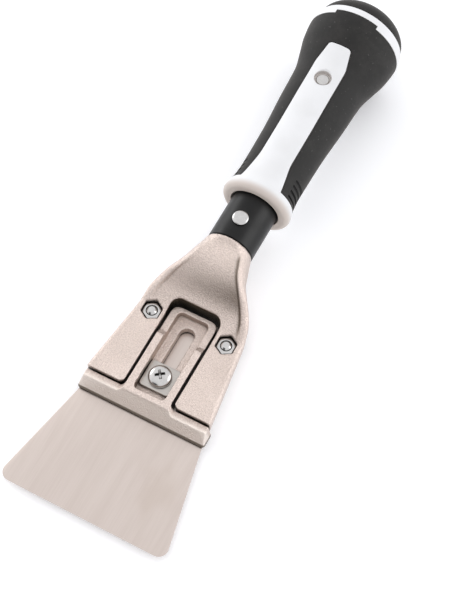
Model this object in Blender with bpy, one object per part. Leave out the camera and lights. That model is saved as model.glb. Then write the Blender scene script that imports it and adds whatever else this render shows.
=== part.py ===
"""Scraper with a bolted blade and an adjustable support for the blade.

The tool lies on its back plate and on the swell of its handle.  The blade points to -Y, the butt
to +Y and the top to +Z.  The root's origin is on the floor below the middle of the length; the
pieces are drawn from the joint between head and tube, so the head lies at negative Y.
"""

import math

import bmesh
import bpy
from mathutils import Matrix, Vector

MM = 0.001

# Clearances
GAP = 0.3 * MM  # between pieces that seat on or pass through each other
SLIDE_GAP = 1.2 * MM  # beside the support's tongue, in the head's window
BACK_GAP = 1.7 * MM  # behind the tongue
NOSE_GAP = 0.6 * MM  # between the nose bar and the ends of the arms
SLOT_GAP = 0.75 * MM  # round the clamp screw in the tongue's slot
MOUTH_GAP = 0.85 * MM  # round the tube at the mouth of the handle

# Blade
BLADE_WIDTH = 75.0 * MM
BLADE_REACH = 54.4 * MM  # cutting edge to the ends of the arms
BLADE_FLARE = 46.0 * MM  # length of the part that widens towards the edge
BLADE_MARGIN = 5.5 * MM  # blade behind the bolts
BLADE_THICKNESS = 0.8 * MM
BLADE_CORNER = 4.0 * MM
BLADE_TAIL_CORNER = 2.0 * MM
BLADE_INSET = 0.9 * MM  # tail edge inside the edge of the head
GROUND_LENGTH = 2.0 * MM  # bevel of the cutting edge, on the underside
EDGE_THICKNESS = 0.3 * MM

# Head
HEAD_LENGTH = 68.1 * MM  # tube joint to the ends of the arms
ARM_FRONT_WIDTH = 16.7 * MM  # each arm beside the window, at its end
ARM_SHOULDER_WIDTH = 11.5 * MM  # and at the shoulder
SHOULDER_DISTANCE = 28.0 * MM  # from the tube joint
FLARE_DISTANCE = 11.0 * MM  # where the neck turns out towards the shoulders
NECK_FLARE = 0.32  # half width gained per length of neck
DISH_LENGTH = 33.0 * MM  # the dished top falls to the arms over this length
DISH_STATIONS = (  # distance from the tube joint, and height of the dish above the arms
    (9.0 * MM, 16.6 * MM),
    (15.0 * MM, 13.0 * MM),
    (22.0 * MM, 5.4 * MM),
    (26.5 * MM, 2.0 * MM),
)
UNDER_LENGTH = 25.0 * MM  # the underside falls to the blade over this length
RIM_HEIGHT = 2.4 * MM  # side rims above the dish, at their highest
RIM_START = 0.79  # share of the half width where a rim begins to rise
RIM_RISE = 0.11  # share that its inner side takes
RIM_LEAN = 0.75  # below 1 the rims are highest ahead of the middle of the dish
ARM_THICKNESS = 8.2 * MM
EDGE_ROUND = 1.8 * MM
UNDER_CHAMFER = 0.6 * MM
WINDOW_DISTANCE = 25.9 * MM  # from the tube joint to the back of the window
WINDOW_CORNER = 4.0 * MM
WINDOW_MOUTH = 2.2 * MM  # rounding of the arms' inner ends
ARM_CORNER = 1.5 * MM
SPIGOT_LENGTH = 20.0 * MM

# Back plate
PLATE_THICKNESS = 2.4 * MM
PLATE_INSET = 1.5 * MM
PLATE_OVERHANG = 5.6 * MM  # ahead of the arms, under the nose bar
PLATE_MARGIN = 8.1 * MM  # plate behind the bolts
PLATE_CORNER = 3.0 * MM

# Bolts and nuts of the blade
BOLT_OFFSET = 5.65 * MM  # from the side of the window
BOLT_DISTANCE = 34.6 * MM  # from the tube joint
BOLT_RADIUS = 2.0 * MM
BOLT_HEAD_RADIUS = 3.8 * MM
BOLT_HEAD_LAND = 0.2 * MM
BOLT_PROUD = 0.7 * MM  # bolt end above its nut
BOLT_TIP = 0.5 * MM  # chamfer of that end
NUT_FLATS = 7.0 * MM
NUT_HEIGHT = 3.2 * MM
NUT_RECESS = 1.8 * MM  # nut below the top of the arm
FLUSH_DEPTH = 0.2 * MM  # fixings below the face that the tool lies on

# Support slide
TONGUE_WIDTH = 20.4 * MM
TONGUE_HEIGHT = 8.7 * MM
TONGUE_REAR_HEIGHT = 7.2 * MM
TONGUE_LOW_LENGTH = 13.7 * MM  # lower rear part of the rim
STEP_LENGTH = 2.5 * MM  # ramp down to it
TONGUE_CORNER = 3.0 * MM
NOSE_OVERLAP = 0.7 * MM  # nose bar past the side of the head
NOSE_STRIP = 3.1 * MM  # flat top of the nose bar
NOSE_HEIGHT = 6.6 * MM
NOSE_LIP = 1.0 * MM  # upright front face below the slope
NOSE_SLOPE = math.radians(57.0)
NOSE_END_INSET = 1.3 * MM  # the ends lean in by this much
NOSE_FILLET = 1.5 * MM
NOSE_BLEND = 2.2 * MM  # slope from the bar up to the sides of the tongue
NOSE_FRONT_CORNER = 1.0 * MM
NOSE_BACK_CORNER = 0.8 * MM
POCKET_RIM = 3.2 * MM  # wall each side of the pocket
POCKET_WALL = 1.8 * MM  # wall behind it
POCKET_CORNER = 2.0 * MM
POCKET_FLOOR = 3.5 * MM  # thickness left under the washer
SLOT_MARGIN = 3.9 * MM  # from the slot to the back of the pocket
SLOT_SPARE = 0.8 * MM  # slot ahead of the screw when the support is back

# Clamp screw, washer and bush
SCREW_SETBACK = 9.7 * MM  # behind the ends of the arms
SCREW_RADIUS = 2.5 * MM
SCREW_HEAD_RADIUS = 4.85 * MM
SCREW_HEAD_HEIGHT = 3.2 * MM
RECESS_LENGTH = 4.6 * MM  # cross in the screw's head, at the top
RECESS_WIDTH = 1.2 * MM
RECESS_DEPTH = 2.2 * MM
RECESS_TAPER = 0.4  # size at the bottom
RECESS_TURN = math.radians(37.0)
SCREW_END = 0.6 * MM  # above the floor
WASHER_LENGTH = 12.0 * MM
WASHER_THICKNESS = 1.2 * MM
WASHER_CORNER = 1.5 * MM
BUSH_RADIUS = 4.4 * MM
BUSH_FLANGE_RADIUS = 6.3 * MM
BUSH_FLANGE_HEIGHT = 1.0 * MM

# Tube and rivet
TUBE_RADIUS = 10.2 * MM
TUBE_WALL = 2.0 * MM
TUBE_PAST_PIN = 8.5 * MM
RIVET_DISTANCE = 9.75 * MM
RIVET_RADIUS = 2.2 * MM
RIVET_HEAD_RADIUS = 3.5 * MM
RIVET_HEAD_HEIGHT = 1.3 * MM

# Handle, measured from its front face; walls are measured from the tube's outside
TUBE_EXPOSED = 22.0 * MM
FLANGE_WALL = 5.3 * MM
FLANGE_ROUND = 2.5 * MM
MOUTH_DEPTH = 3.0 * MM
BULB_WALL = 11.0 * MM
GRIP_LENGTH = 93.0 * MM  # front face to the widest part of the bulb
RING_LENGTH = 4.3 * MM  # from there to the end cap
RING_STEP = 0.6 * MM  # the handle narrows by this much there
WAIST_STATIONS = (  # distance behind the front face, and wall
    (8.0 * MM, 4.1 * MM),
    (14.0 * MM, 3.7 * MM),
    (32.0 * MM, 4.0 * MM),
)
SWELL_STATIONS = (  # distance ahead of the bulb, and wall
    (40.0 * MM, 5.3 * MM),
    (25.0 * MM, 6.1 * MM),
    (15.0 * MM, 8.4 * MM),
    (8.0 * MM, 10.2 * MM),
)
SLEEVE_THICKNESS = 1.7 * MM
SLEEVE_FRONT = 5.6 * MM
SLEEVE_SETBACK = 1.0 * MM  # end of the sleeve ahead of the bulb's widest part
SLEEVE_TAB = 1.8 * MM  # further back above and below
SLEEVE_TAB_WIDTH = 18.6 * MM
SPINE_WIDTH = 13.8 * MM
SPINE_FRONT_WIDTH = 19.0 * MM
SPINE_TIP_WIDTH = 9.8 * MM
SPINE_WAIST = 18.0 * MM
SPINE_TIP = 15.0 * MM  # end of the spine ahead of the bulb
SPINE_TAPER_LENGTH = 9.0 * MM
SPINE_CORNER = 1.4 * MM
SPINE_BEND = 12.0 * MM  # rounding where the taper starts
SPINE_CURVE = 30.0 * MM
GROOVE_DISTANCES = (7.4 * MM, 10.0 * MM, 12.6 * MM, 15.2 * MM)
GROOVE_WIDTH = 1.3 * MM
GROOVE_ANGLES = (math.radians(54.0), math.radians(98.0))  # from the top
PIN_SETBACK = 31.5 * MM  # pin ahead of the bulb
PIN_RADIUS = 2.0 * MM
PIN_RECESS_RADIUS = 3.75 * MM
PIN_RECESS_DEPTH = 2.3 * MM
PIN_CHAMFER = 0.3 * MM  # also the height of its ends above the recess floor

# End cap
CAP_STEP = 0.6 * MM  # dome's edge inside the ring's
CAP_DEPTH = 12.7 * MM
PLUG_RADIUS = 12.0 * MM
PLUG_LENGTH = 10.0 * MM

# Smoothness
TURN_STEPS = 36
SMALL_STEPS = 24
ARC_STEPS = 6
TOP_STEPS = 14
UNDER_STEPS = 6
CORNER_STEPS = 4

# Levels above the floor
AXIS_HEIGHT = TUBE_RADIUS + BULB_WALL
BLADE_LOW = PLATE_THICKNESS + GAP
BLADE_TOP = BLADE_LOW + BLADE_THICKNESS
HEAD_UNDERSIDE = BLADE_TOP + GAP
ARM_TOP = HEAD_UNDERSIDE + ARM_THICKNESS
NUT_TOP = ARM_TOP - NUT_RECESS
NUT_SEAT = NUT_TOP - NUT_HEIGHT - GAP
POCKET_LEVEL = BLADE_TOP + GAP + POCKET_FLOOR
WASHER_TOP = POCKET_LEVEL + GAP + WASHER_THICKNESS
HEAD_SEAT = WASHER_TOP + GAP

# Widths that follow the support's tongue
WINDOW_HALF = TONGUE_WIDTH / 2.0 + SLIDE_GAP
SHOULDER_WIDTH = 2.0 * (WINDOW_HALF + ARM_SHOULDER_WIDTH)
HEAD_FRONT_WIDTH = 2.0 * (WINDOW_HALF + ARM_FRONT_WIDTH)
BOLT_SPACING = 2.0 * (WINDOW_HALF + BOLT_OFFSET)
NOSE_WIDTH = HEAD_FRONT_WIDTH + 2.0 * NOSE_OVERLAP
POCKET_WIDTH = TONGUE_WIDTH - 2.0 * POCKET_RIM

# Places along the tool
ARM_END = -HEAD_LENGTH
EDGE = ARM_END - BLADE_REACH
TONGUE_LENGTH = HEAD_LENGTH - WINDOW_DISTANCE - BACK_GAP  # behind the ends of the arms
SCREW_DISTANCE = HEAD_LENGTH - SCREW_SETBACK
PLATE_BACK = BOLT_DISTANCE - PLATE_MARGIN
BLADE_BACK = BOLT_DISTANCE - BLADE_MARGIN
NOSE_BACK = ARM_END - NOSE_GAP
NOSE_FRONT = NOSE_BACK - NOSE_STRIP - (NOSE_HEIGHT - NOSE_LIP) / math.tan(NOSE_SLOPE)
RING_WALL = BULB_WALL - RING_STEP
CAP_RADIUS = TUBE_RADIUS + RING_WALL - CAP_STEP
RING_END = GRIP_LENGTH + RING_LENGTH
SLEEVE_BACK = GRIP_LENGTH - SLEEVE_SETBACK
PIN_DISTANCE = GRIP_LENGTH - PIN_SETBACK
TUBE_LENGTH = TUBE_EXPOSED + PIN_DISTANCE + TUBE_PAST_PIN
BUTT = TUBE_EXPOSED + RING_END + GAP + CAP_DEPTH
FAR = 40.0 * MM  # cutters reach this far past what they cut
NEAR = 3.0 * MM  # and this far where more would meet another surface


def mix(a, b, t):
    return a + (b - a) * t


def ease(t):
    """Smooth rise from 0 to 1."""
    t = min(max(t, 0.0), 1.0)
    return t * t * (3.0 - 2.0 * t)


def spread(start, end, steps):
    return [mix(start, end, i / steps) for i in range(steps + 1)]


def curve(stations, distance):
    """Value at a distance, on a curve through the stations that never overshoots them."""
    slopes = []
    for (y0, v0), (y1, v1) in zip(stations, stations[1:]):
        slopes.append((v1 - v0) / (y1 - y0))
    tangents = [0.0]
    for before, after in zip(slopes, slopes[1:]):
        tangents.append(2.0 * before * after / (before + after) if before * after > 0.0 else 0.0)
    tangents.append(slopes[-1])
    distance = min(max(distance, stations[0][0]), stations[-1][0])
    i = 0
    while distance > stations[i + 1][0]:
        i += 1
    span = stations[i + 1][0] - stations[i][0]
    t = (distance - stations[i][0]) / span
    start = stations[i][1] * (1.0 + 2.0 * t) * (1.0 - t) ** 2 + tangents[i] * span * t * (1.0 - t) ** 2
    end = stations[i + 1][1] * t * t * (3.0 - 2.0 * t) - tangents[i + 1] * span * t * t * (1.0 - t)
    return start + end


def skin(name, rings, closed=False):
    """Mesh through a row of equal rings, capped at both ends unless the row closes on itself."""
    bm = bmesh.new()
    loops = [[bm.verts.new(point) for point in ring] for ring in rings]
    pairs = list(zip(loops, loops[1:]))
    if closed:
        pairs.append((loops[-1], loops[0]))
    else:
        bm.faces.new(loops[0])
        bm.faces.new(loops[-1])
    for near, far in pairs:
        for i in range(len(near)):
            bm.faces.new((near[i - 1], near[i], far[i], far[i - 1]))
    bmesh.ops.remove_doubles(bm, verts=bm.verts, dist=0.001 * MM)
    bmesh.ops.recalc_face_normals(bm, faces=bm.faces)
    mesh = bpy.data.meshes.new(name)
    bm.to_mesh(mesh)
    bm.free()
    return mesh


def extruded(name, outline, axis, low, high):
    """Prism of an outline: (x, y) along Z, (x, z) along Y or (y, z) along X."""
    place = {
        "X": lambda u, v, w: (w, u, v),
        "Y": lambda u, v, w: (u, w, v),
        "Z": lambda u, v, w: (u, v, w),
    }[axis]
    return skin(name, [[place(u, v, w) for u, v in outline] for w in (low, high)])


def turned(name, profile, axis="Y", steps=TURN_STEPS, closed=False):
    """Body of revolution from (radius, distance) pairs; it closes round a bore when asked."""
    phase = 0.5 if axis == "Z" else 0.0  # keeps drilled holes off the edges along the handle's top
    angles = [2.0 * math.pi * (i + phase) / steps for i in range(steps)]
    rings = []
    for radius, along in profile:
        radius = max(radius, 0.05 * MM)
        circle = [(radius * math.cos(a), radius * math.sin(a)) for a in angles]
        if axis == "Y":
            rings.append([(u, along, v) for u, v in circle])
        else:
            rings.append([(u, v, along) for u, v in circle])
    return skin(name, rings, closed)


def joined(name, meshes):
    """One mesh that holds separate shapes, for a cutter with several places."""
    bm = bmesh.new()
    for mesh in meshes:
        bm.from_mesh(mesh)
    result = bpy.data.meshes.new(name)
    bm.to_mesh(result)
    bm.free()
    return result


def rounded(corners):
    """Outline through (x, y, radius) corners, each rounded by its own radius."""
    outline = []
    for i, (x, y, radius) in enumerate(corners):
        here = Vector((x, y))
        if radius == 0.0:
            outline.append((x, y))
            continue
        before = (Vector(corners[i - 1][:2]) - here).normalized()
        after = (Vector(corners[(i + 1) % len(corners)][:2]) - here).normalized()
        half = before.angle(after) / 2.0
        centre = here + (before + after).normalized() * radius / math.sin(half)
        first = here + before * radius / math.tan(half) - centre
        last = here + after * radius / math.tan(half) - centre
        start = math.atan2(first.y, first.x)
        sweep = math.remainder(math.atan2(last.y, last.x) - start, 2.0 * math.pi)
        for angle in spread(start, start + sweep, ARC_STEPS):
            outline.append((centre.x + radius * math.cos(angle), centre.y + radius * math.sin(angle)))
    return outline


def mirrored(half):
    """Close a right-hand half outline, given from front to back, with its mirror image."""
    left = [(-corner[0],) + tuple(corner[1:]) for corner in reversed(half)]
    return half + left


def hexagon(flats):
    """Hexagon with two corners along Y."""
    radius = flats / math.sqrt(3.0)
    angles = [math.radians(30.0 + 60.0 * i) for i in range(6)]
    return [(radius * math.cos(a), radius * math.sin(a)) for a in angles]


def finish(name, colour, roughness, metallic=0.0):
    material = bpy.data.materials.new(name)
    material.use_nodes = True
    shader = material.node_tree.nodes["Principled BSDF"]
    shader.inputs["Base Color"].default_value = (*colour, 1.0)
    shader.inputs["Roughness"].default_value = roughness
    shader.inputs["Metallic"].default_value = metallic
    material.diffuse_color = (*colour, 1.0)
    return material


def empty(name, at, parent=None):
    obj = bpy.data.objects.new(name, None)
    obj.location = at
    obj.parent = parent
    bpy.context.scene.collection.objects.link(obj)
    return obj


def piece(mesh, parent, at=(0.0, 0.0, 0.0), material=None):
    """Object of a mesh, shaded smooth except across its edges."""
    mesh.shade_smooth()
    mesh.set_sharp_from_angle(angle=math.radians(32.0))
    obj = bpy.data.objects.new(mesh.name, mesh)
    obj.location = at
    obj.parent = parent
    if material:
        mesh.materials.append(material)
    bpy.context.scene.collection.objects.link(obj)
    return obj


def shape(target, mesh, operation="DIFFERENCE", at=None):
    """Boolean of the target with a hidden cutter that sits in the target's own frame."""
    cutter = piece(mesh, target.parent, target.location if at is None else at)
    cutter.hide_render = True
    cutter.display_type = "WIRE"
    modifier = target.modifiers.new(mesh.name, "BOOLEAN")
    modifier.operation = operation
    modifier.solver = "EXACT"
    modifier.object = cutter
    return cutter


def drill(name, radius, low, high):
    return turned(name, [(radius, low), (radius, high)], "Z", SMALL_STEPS)


def head_half_width(distance):
    """Half width of the head at a distance from the tube joint."""
    neck = TUBE_RADIUS + NECK_FLARE * distance
    along = (distance - SHOULDER_DISTANCE) / (HEAD_LENGTH - SHOULDER_DISTANCE)
    arm = mix(SHOULDER_WIDTH, HEAD_FRONT_WIDTH, along) / 2.0
    return mix(neck, arm, ease((distance - FLARE_DISTANCE) / (SHOULDER_DISTANCE - FLARE_DISTANCE)))


def head_ring(distance):
    """Section of the head: the tube's circle turning into a bar, dished between two side rims."""
    along = min(distance / DISH_LENGTH, 1.0)
    square = ease(along)
    half = head_half_width(distance)
    heights = tuple((at, ARM_TOP + height) for at, height in DISH_STATIONS)
    ends = (0.0, AXIS_HEIGHT + TUBE_RADIUS), (DISH_LENGTH, ARM_TOP)
    dish = curve((ends[0],) + heights + (ends[1],), distance)
    top = dish + RIM_HEIGHT * math.sin(math.pi * along**RIM_LEAN)
    low = mix(AXIS_HEIGHT - TUBE_RADIUS, HEAD_UNDERSIDE, ease(distance / UNDER_LENGTH))
    flat = half - EDGE_ROUND

    def point(angle, x, z):
        round_x = half * math.cos(angle)
        round_z = mix(low, top, 0.5 + 0.5 * math.sin(angle))
        return (mix(round_x, x, square), -distance, mix(round_z, z, square))

    ring = []
    for step in spread(1.0, -1.0, TOP_STEPS):
        across = math.sin(math.pi / 2.0 * step)  # closer together on the rims
        x, y, z = point(math.radians(90.0 - 48.0 * across), flat * across, top)
        ring.append((x, y, mix(min(dish, z), z, ease((abs(across) - RIM_START) / RIM_RISE))))
    left = []
    for share in spread(0.0, 1.0, CORNER_STEPS)[1:]:
        turn = math.radians(90.0 * (1.0 + share))
        x = -flat + EDGE_ROUND * math.cos(turn)
        z = top - EDGE_ROUND + EDGE_ROUND * math.sin(turn)
        left.append(point(math.radians(mix(138.0, 180.0, share)), x, z))
    ring += left
    for across in spread(-1.0, 1.0, UNDER_STEPS):
        ring.append(point(math.radians(270.0 + 58.0 * across), (half - UNDER_CHAMFER) * across, low))
    ring += [(-x, y, z) for x, y, z in reversed(left)]
    return ring


def make_head(root, material):
    spigot = TUBE_RADIUS - TUBE_WALL - GAP
    centre = Vector((0.0, 0.0, AXIS_HEIGHT))

    def circle(radius, y):
        joint = [Vector(at) - centre for at in head_ring(0.0)]
        return [centre + Vector((v.x, 0.0, v.z)).normalized() * radius + Vector((0.0, y, 0.0)) for v in joint]

    neck = [head_ring(d) for d in spread(0.0, DISH_LENGTH, 18)]
    arms = [head_ring(mix(DISH_LENGTH, HEAD_LENGTH, 0.5)), head_ring(HEAD_LENGTH)]
    rings = [circle(spigot, SPIGOT_LENGTH), circle(spigot, 0.0)] + neck + arms
    head = piece(skin("head_casting", rings), root, material=material)

    window = rounded(
        mirrored(
            [
                (WINDOW_HALF + FAR, ARM_END - FAR, 0.0),
                (WINDOW_HALF + FAR, ARM_END, 0.0),
                (WINDOW_HALF, ARM_END, WINDOW_MOUTH),
                (WINDOW_HALF, -WINDOW_DISTANCE, WINDOW_CORNER),
            ]
        )
    )
    shape(head, extruded("head_window", window, "Z", -FAR, AXIS_HEIGHT + FAR))
    corner = HEAD_FRONT_WIDTH / 2.0
    ends = rounded(
        mirrored(
            [
                (corner, ARM_END, ARM_CORNER),
                (head_half_width(SHOULDER_DISTANCE) + FAR, -SHOULDER_DISTANCE, 0.0),
                (head_half_width(SHOULDER_DISTANCE) + FAR, FAR, 0.0),
            ]
        )
    )
    shape(head, extruded("arm_ends", ends, "Z", -FAR, AXIS_HEIGHT + FAR), "INTERSECT")
    for side, x in (("left", -BOLT_SPACING / 2.0), ("right", BOLT_SPACING / 2.0)):
        at = (x, -BOLT_DISTANCE, 0.0)
        pocket = extruded(f"nut_pocket_{side}", hexagon(NUT_FLATS + 2.0 * GAP), "Z", NUT_SEAT, ARM_TOP + FAR)
        shape(head, pocket, at=at)
        shape(head, drill(f"bolt_hole_{side}", BOLT_RADIUS + GAP, -FAR, ARM_TOP), at=at)
    hole = drill("spigot_hole", RIVET_RADIUS + GAP, -FAR, FAR)
    shape(head, hole, at=(0.0, RIVET_DISTANCE, AXIS_HEIGHT))
    return head


def make_blade(root, material):
    shoulder = EDGE + BLADE_FLARE
    outline = rounded(
        mirrored(
            [
                (BLADE_WIDTH / 2.0, EDGE, BLADE_CORNER),
                (HEAD_FRONT_WIDTH / 2.0, shoulder, 0.0),
                (head_half_width(HEAD_LENGTH) - BLADE_INSET, ARM_END, 0.0),
                (head_half_width(BLADE_BACK) - BLADE_INSET, -BLADE_BACK, BLADE_TAIL_CORNER),
            ]
        )
    )
    blade = piece(extruded("blade", outline, "Z", BLADE_LOW, BLADE_TOP), root, material=material)
    ground = [
        (EDGE, BLADE_TOP - EDGE_THICKNESS),
        (EDGE + GROUND_LENGTH, BLADE_LOW),
        (EDGE + GROUND_LENGTH, BLADE_LOW - FAR),
        (EDGE - FAR, BLADE_LOW - FAR),
        (EDGE - FAR, BLADE_TOP - EDGE_THICKNESS),
    ]
    shape(blade, extruded("blade_grind", ground, "X", -BLADE_WIDTH, BLADE_WIDTH))
    holes = [
        (0.0, -SCREW_DISTANCE, BUSH_RADIUS),
        (-BOLT_SPACING / 2.0, -BOLT_DISTANCE, BOLT_RADIUS),
        (BOLT_SPACING / 2.0, -BOLT_DISTANCE, BOLT_RADIUS),
    ]
    for number, (x, y, radius) in enumerate(holes):
        shape(blade, drill(f"blade_hole_{number}", radius + GAP, -FAR, FAR), at=(x, y, 0.0))
    return blade


def bolt_profile(clearance, top):
    """Countersunk bolt from its head up, or its hole when a clearance is given."""
    cone = BOLT_HEAD_RADIUS - BOLT_RADIUS
    land = FLUSH_DEPTH + BOLT_HEAD_LAND
    return [
        (BOLT_HEAD_RADIUS + clearance, FLUSH_DEPTH - (FAR if clearance else 0.0)),
        (BOLT_HEAD_RADIUS + clearance, land),
        (BOLT_RADIUS + clearance, land + cone),
        (BOLT_RADIUS + clearance, top),
    ]


def make_back_plate(root, material):
    front = ARM_END - PLATE_OVERHANG
    outline = rounded(
        mirrored(
            [
                (head_half_width(HEAD_LENGTH) - PLATE_INSET, front, PLATE_CORNER),
                (head_half_width(PLATE_BACK) - PLATE_INSET, -PLATE_BACK, PLATE_CORNER),
            ]
        )
    )
    plate = piece(extruded("back_plate", outline, "Z", 0.0, PLATE_THICKNESS), root, material=material)
    for side, x in (("left", -BOLT_SPACING / 2.0), ("right", BOLT_SPACING / 2.0)):
        profile = bolt_profile(GAP, PLATE_THICKNESS + FAR)
        sink = turned(f"plate_sink_{side}", profile, "Z", SMALL_STEPS)
        shape(plate, sink, at=(x, -BOLT_DISTANCE, 0.0))
    step = FLUSH_DEPTH + BUSH_FLANGE_HEIGHT + GAP
    seat = [
        (BUSH_FLANGE_RADIUS + GAP, -FAR),
        (BUSH_FLANGE_RADIUS + GAP, step),
        (BUSH_RADIUS + GAP, step),
        (BUSH_RADIUS + GAP, FAR),
    ]
    shape(plate, turned("plate_bush_seat", seat, "Z", SMALL_STEPS), at=(0.0, -SCREW_DISTANCE, 0.0))
    return plate


def make_bolts(root, material):
    top = NUT_TOP + BOLT_PROUD
    for side, x in (("left", -BOLT_SPACING / 2.0), ("right", BOLT_SPACING / 2.0)):
        at = (x, -BOLT_DISTANCE, 0.0)
        profile = bolt_profile(0.0, top - BOLT_TIP) + [(BOLT_RADIUS - BOLT_TIP, top)]
        piece(turned(f"blade_bolt_{side}", profile, "Z", SMALL_STEPS), root, at, material)
        body = extruded(f"blade_nut_{side}", hexagon(NUT_FLATS), "Z", NUT_SEAT + GAP, NUT_TOP)
        nut = piece(body, root, at, material)
        shape(nut, drill(f"nut_bore_{side}", BOLT_RADIUS + GAP, 0.0, ARM_TOP + FAR))


def make_slide(root, material):
    """Support slide: three outlines meet in one body, then the pocket and the slot are cut."""
    at = Vector((0.0, ARM_END, BLADE_TOP))
    front = NOSE_FRONT - ARM_END
    back = NOSE_BACK - ARM_END
    tongue = TONGUE_WIDTH / 2.0
    nose = NOSE_WIDTH / 2.0
    plan = rounded(
        mirrored(
            [
                (nose, front, NOSE_FRONT_CORNER),
                (nose, back, NOSE_BACK_CORNER),
                (tongue, back, NOSE_FILLET),
                (tongue, TONGUE_LENGTH, TONGUE_CORNER),
            ]
        )
    )
    slide = piece(extruded("support_slide", plan, "Z", GAP, TONGUE_HEIGHT), root, at, material)
    rise = (TONGUE_HEIGHT - NOSE_LIP) / math.tan(NOSE_SLOPE)
    low_from = TONGUE_LENGTH - TONGUE_LOW_LENGTH
    side = [
        (front - FAR, -FAR),
        (front - FAR, NOSE_LIP),
        (front, NOSE_LIP),
        (front + rise, TONGUE_HEIGHT),
        (front + rise, TONGUE_HEIGHT + FAR),
        (low_from - STEP_LENGTH / 2.0, TONGUE_HEIGHT + FAR),
        (low_from - STEP_LENGTH / 2.0, TONGUE_HEIGHT),
        (low_from + STEP_LENGTH / 2.0, TONGUE_REAR_HEIGHT),
        (TONGUE_LENGTH + FAR, TONGUE_REAR_HEIGHT),
        (TONGUE_LENGTH + FAR, -FAR),
    ]
    shape(slide, extruded("slide_side_view", side, "X", -FAR, FAR), "INTERSECT")
    end = mirrored(
        [
            (nose + FAR, -FAR),
            (nose + FAR, NOSE_LIP),
            (nose, NOSE_LIP),
            (nose - NOSE_END_INSET, NOSE_HEIGHT),
            (tongue + NOSE_BLEND, NOSE_HEIGHT),
            (tongue, TONGUE_HEIGHT),
            (tongue, TONGUE_HEIGHT + FAR),
        ]
    )
    shape(slide, extruded("slide_end_view", end, "Y", front - FAR, TONGUE_LENGTH + FAR), "INTERSECT")
    half = POCKET_WIDTH / 2.0
    pocket = rounded(
        mirrored([(half, 0.0, POCKET_CORNER), (half, TONGUE_LENGTH - POCKET_WALL, POCKET_CORNER)])
    )
    shape(slide, extruded("slide_pocket", pocket, "Z", GAP + POCKET_FLOOR, TONGUE_HEIGHT + FAR))
    reach = SCREW_RADIUS + SLOT_GAP
    slot = rounded(
        mirrored(
            [
                (reach, SCREW_SETBACK - SLOT_SPARE - reach, 0.98 * reach),
                (reach, TONGUE_LENGTH - POCKET_WALL - SLOT_MARGIN, 0.98 * reach),
            ]
        )
    )
    shape(slide, extruded("slide_slot", slot, "Z", -FAR, TONGUE_HEIGHT))
    return slide


def recess_wing(name, turn):
    """Tapered bar across the screw's head, one of the two that make the cross."""
    rings = []
    for scale, z in ((RECESS_TAPER, -RECESS_DEPTH), (1.0, 0.0), (1.0, NEAR)):
        x, y = scale * RECESS_LENGTH / 2.0, scale * RECESS_WIDTH / 2.0
        rings.append([(-x, -y, z), (x, -y, z), (x, y, z), (-x, y, z)])
    mesh = skin(name, rings)
    mesh.transform(Matrix.Rotation(turn, 4, "Z"))
    return mesh


def make_clamp(root, materials):
    """Washer, screw and bush on the axis of the clamp screw."""
    clamp = empty("clamp_axis", (0.0, -SCREW_DISTANCE, 0.0), root)
    half = POCKET_WIDTH / 2.0 - GAP
    outline = rounded(
        mirrored([(half, -WASHER_LENGTH / 2.0, WASHER_CORNER), (half, WASHER_LENGTH / 2.0, WASHER_CORNER)])
    )
    low = WASHER_TOP - WASHER_THICKNESS
    form = extruded("clamp_washer", outline, "Z", low, WASHER_TOP)
    washer = piece(form, clamp, material=materials["plate"])
    shape(washer, drill("washer_hole", SCREW_RADIUS + GAP, 0.0, FAR))

    dome = []
    for turn in spread(0.0, math.pi / 2.0, ARC_STEPS):
        radius = SCREW_HEAD_RADIUS * math.cos(turn)
        rise = mix(0.3, 1.0, math.sin(turn)) * SCREW_HEAD_HEIGHT
        dome.append((radius, HEAD_SEAT + rise))
    stem = [(SCREW_RADIUS, SCREW_END), (SCREW_RADIUS, HEAD_SEAT), (SCREW_HEAD_RADIUS, HEAD_SEAT)]
    screw = piece(turned("clamp_screw", stem + dome, "Z", SMALL_STEPS), clamp, material=materials["bright"])
    for number in (0, 1):
        mesh = recess_wing(f"recess_wing_{number}", RECESS_TURN + number * math.pi / 2.0)
        shape(screw, mesh, at=(0.0, 0.0, HEAD_SEAT + SCREW_HEAD_HEIGHT))

    flange = FLUSH_DEPTH + BUSH_FLANGE_HEIGHT
    bore = SCREW_RADIUS + GAP
    bush = [
        (bore, FLUSH_DEPTH),
        (BUSH_FLANGE_RADIUS, FLUSH_DEPTH),
        (BUSH_FLANGE_RADIUS, flange),
        (BUSH_RADIUS, flange),
        (BUSH_RADIUS, BLADE_TOP),
        (bore, BLADE_TOP),
    ]
    mesh = turned("clamp_bush", bush, "Z", SMALL_STEPS, closed=True)
    piece(mesh, clamp, material=materials["bright"])


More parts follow.
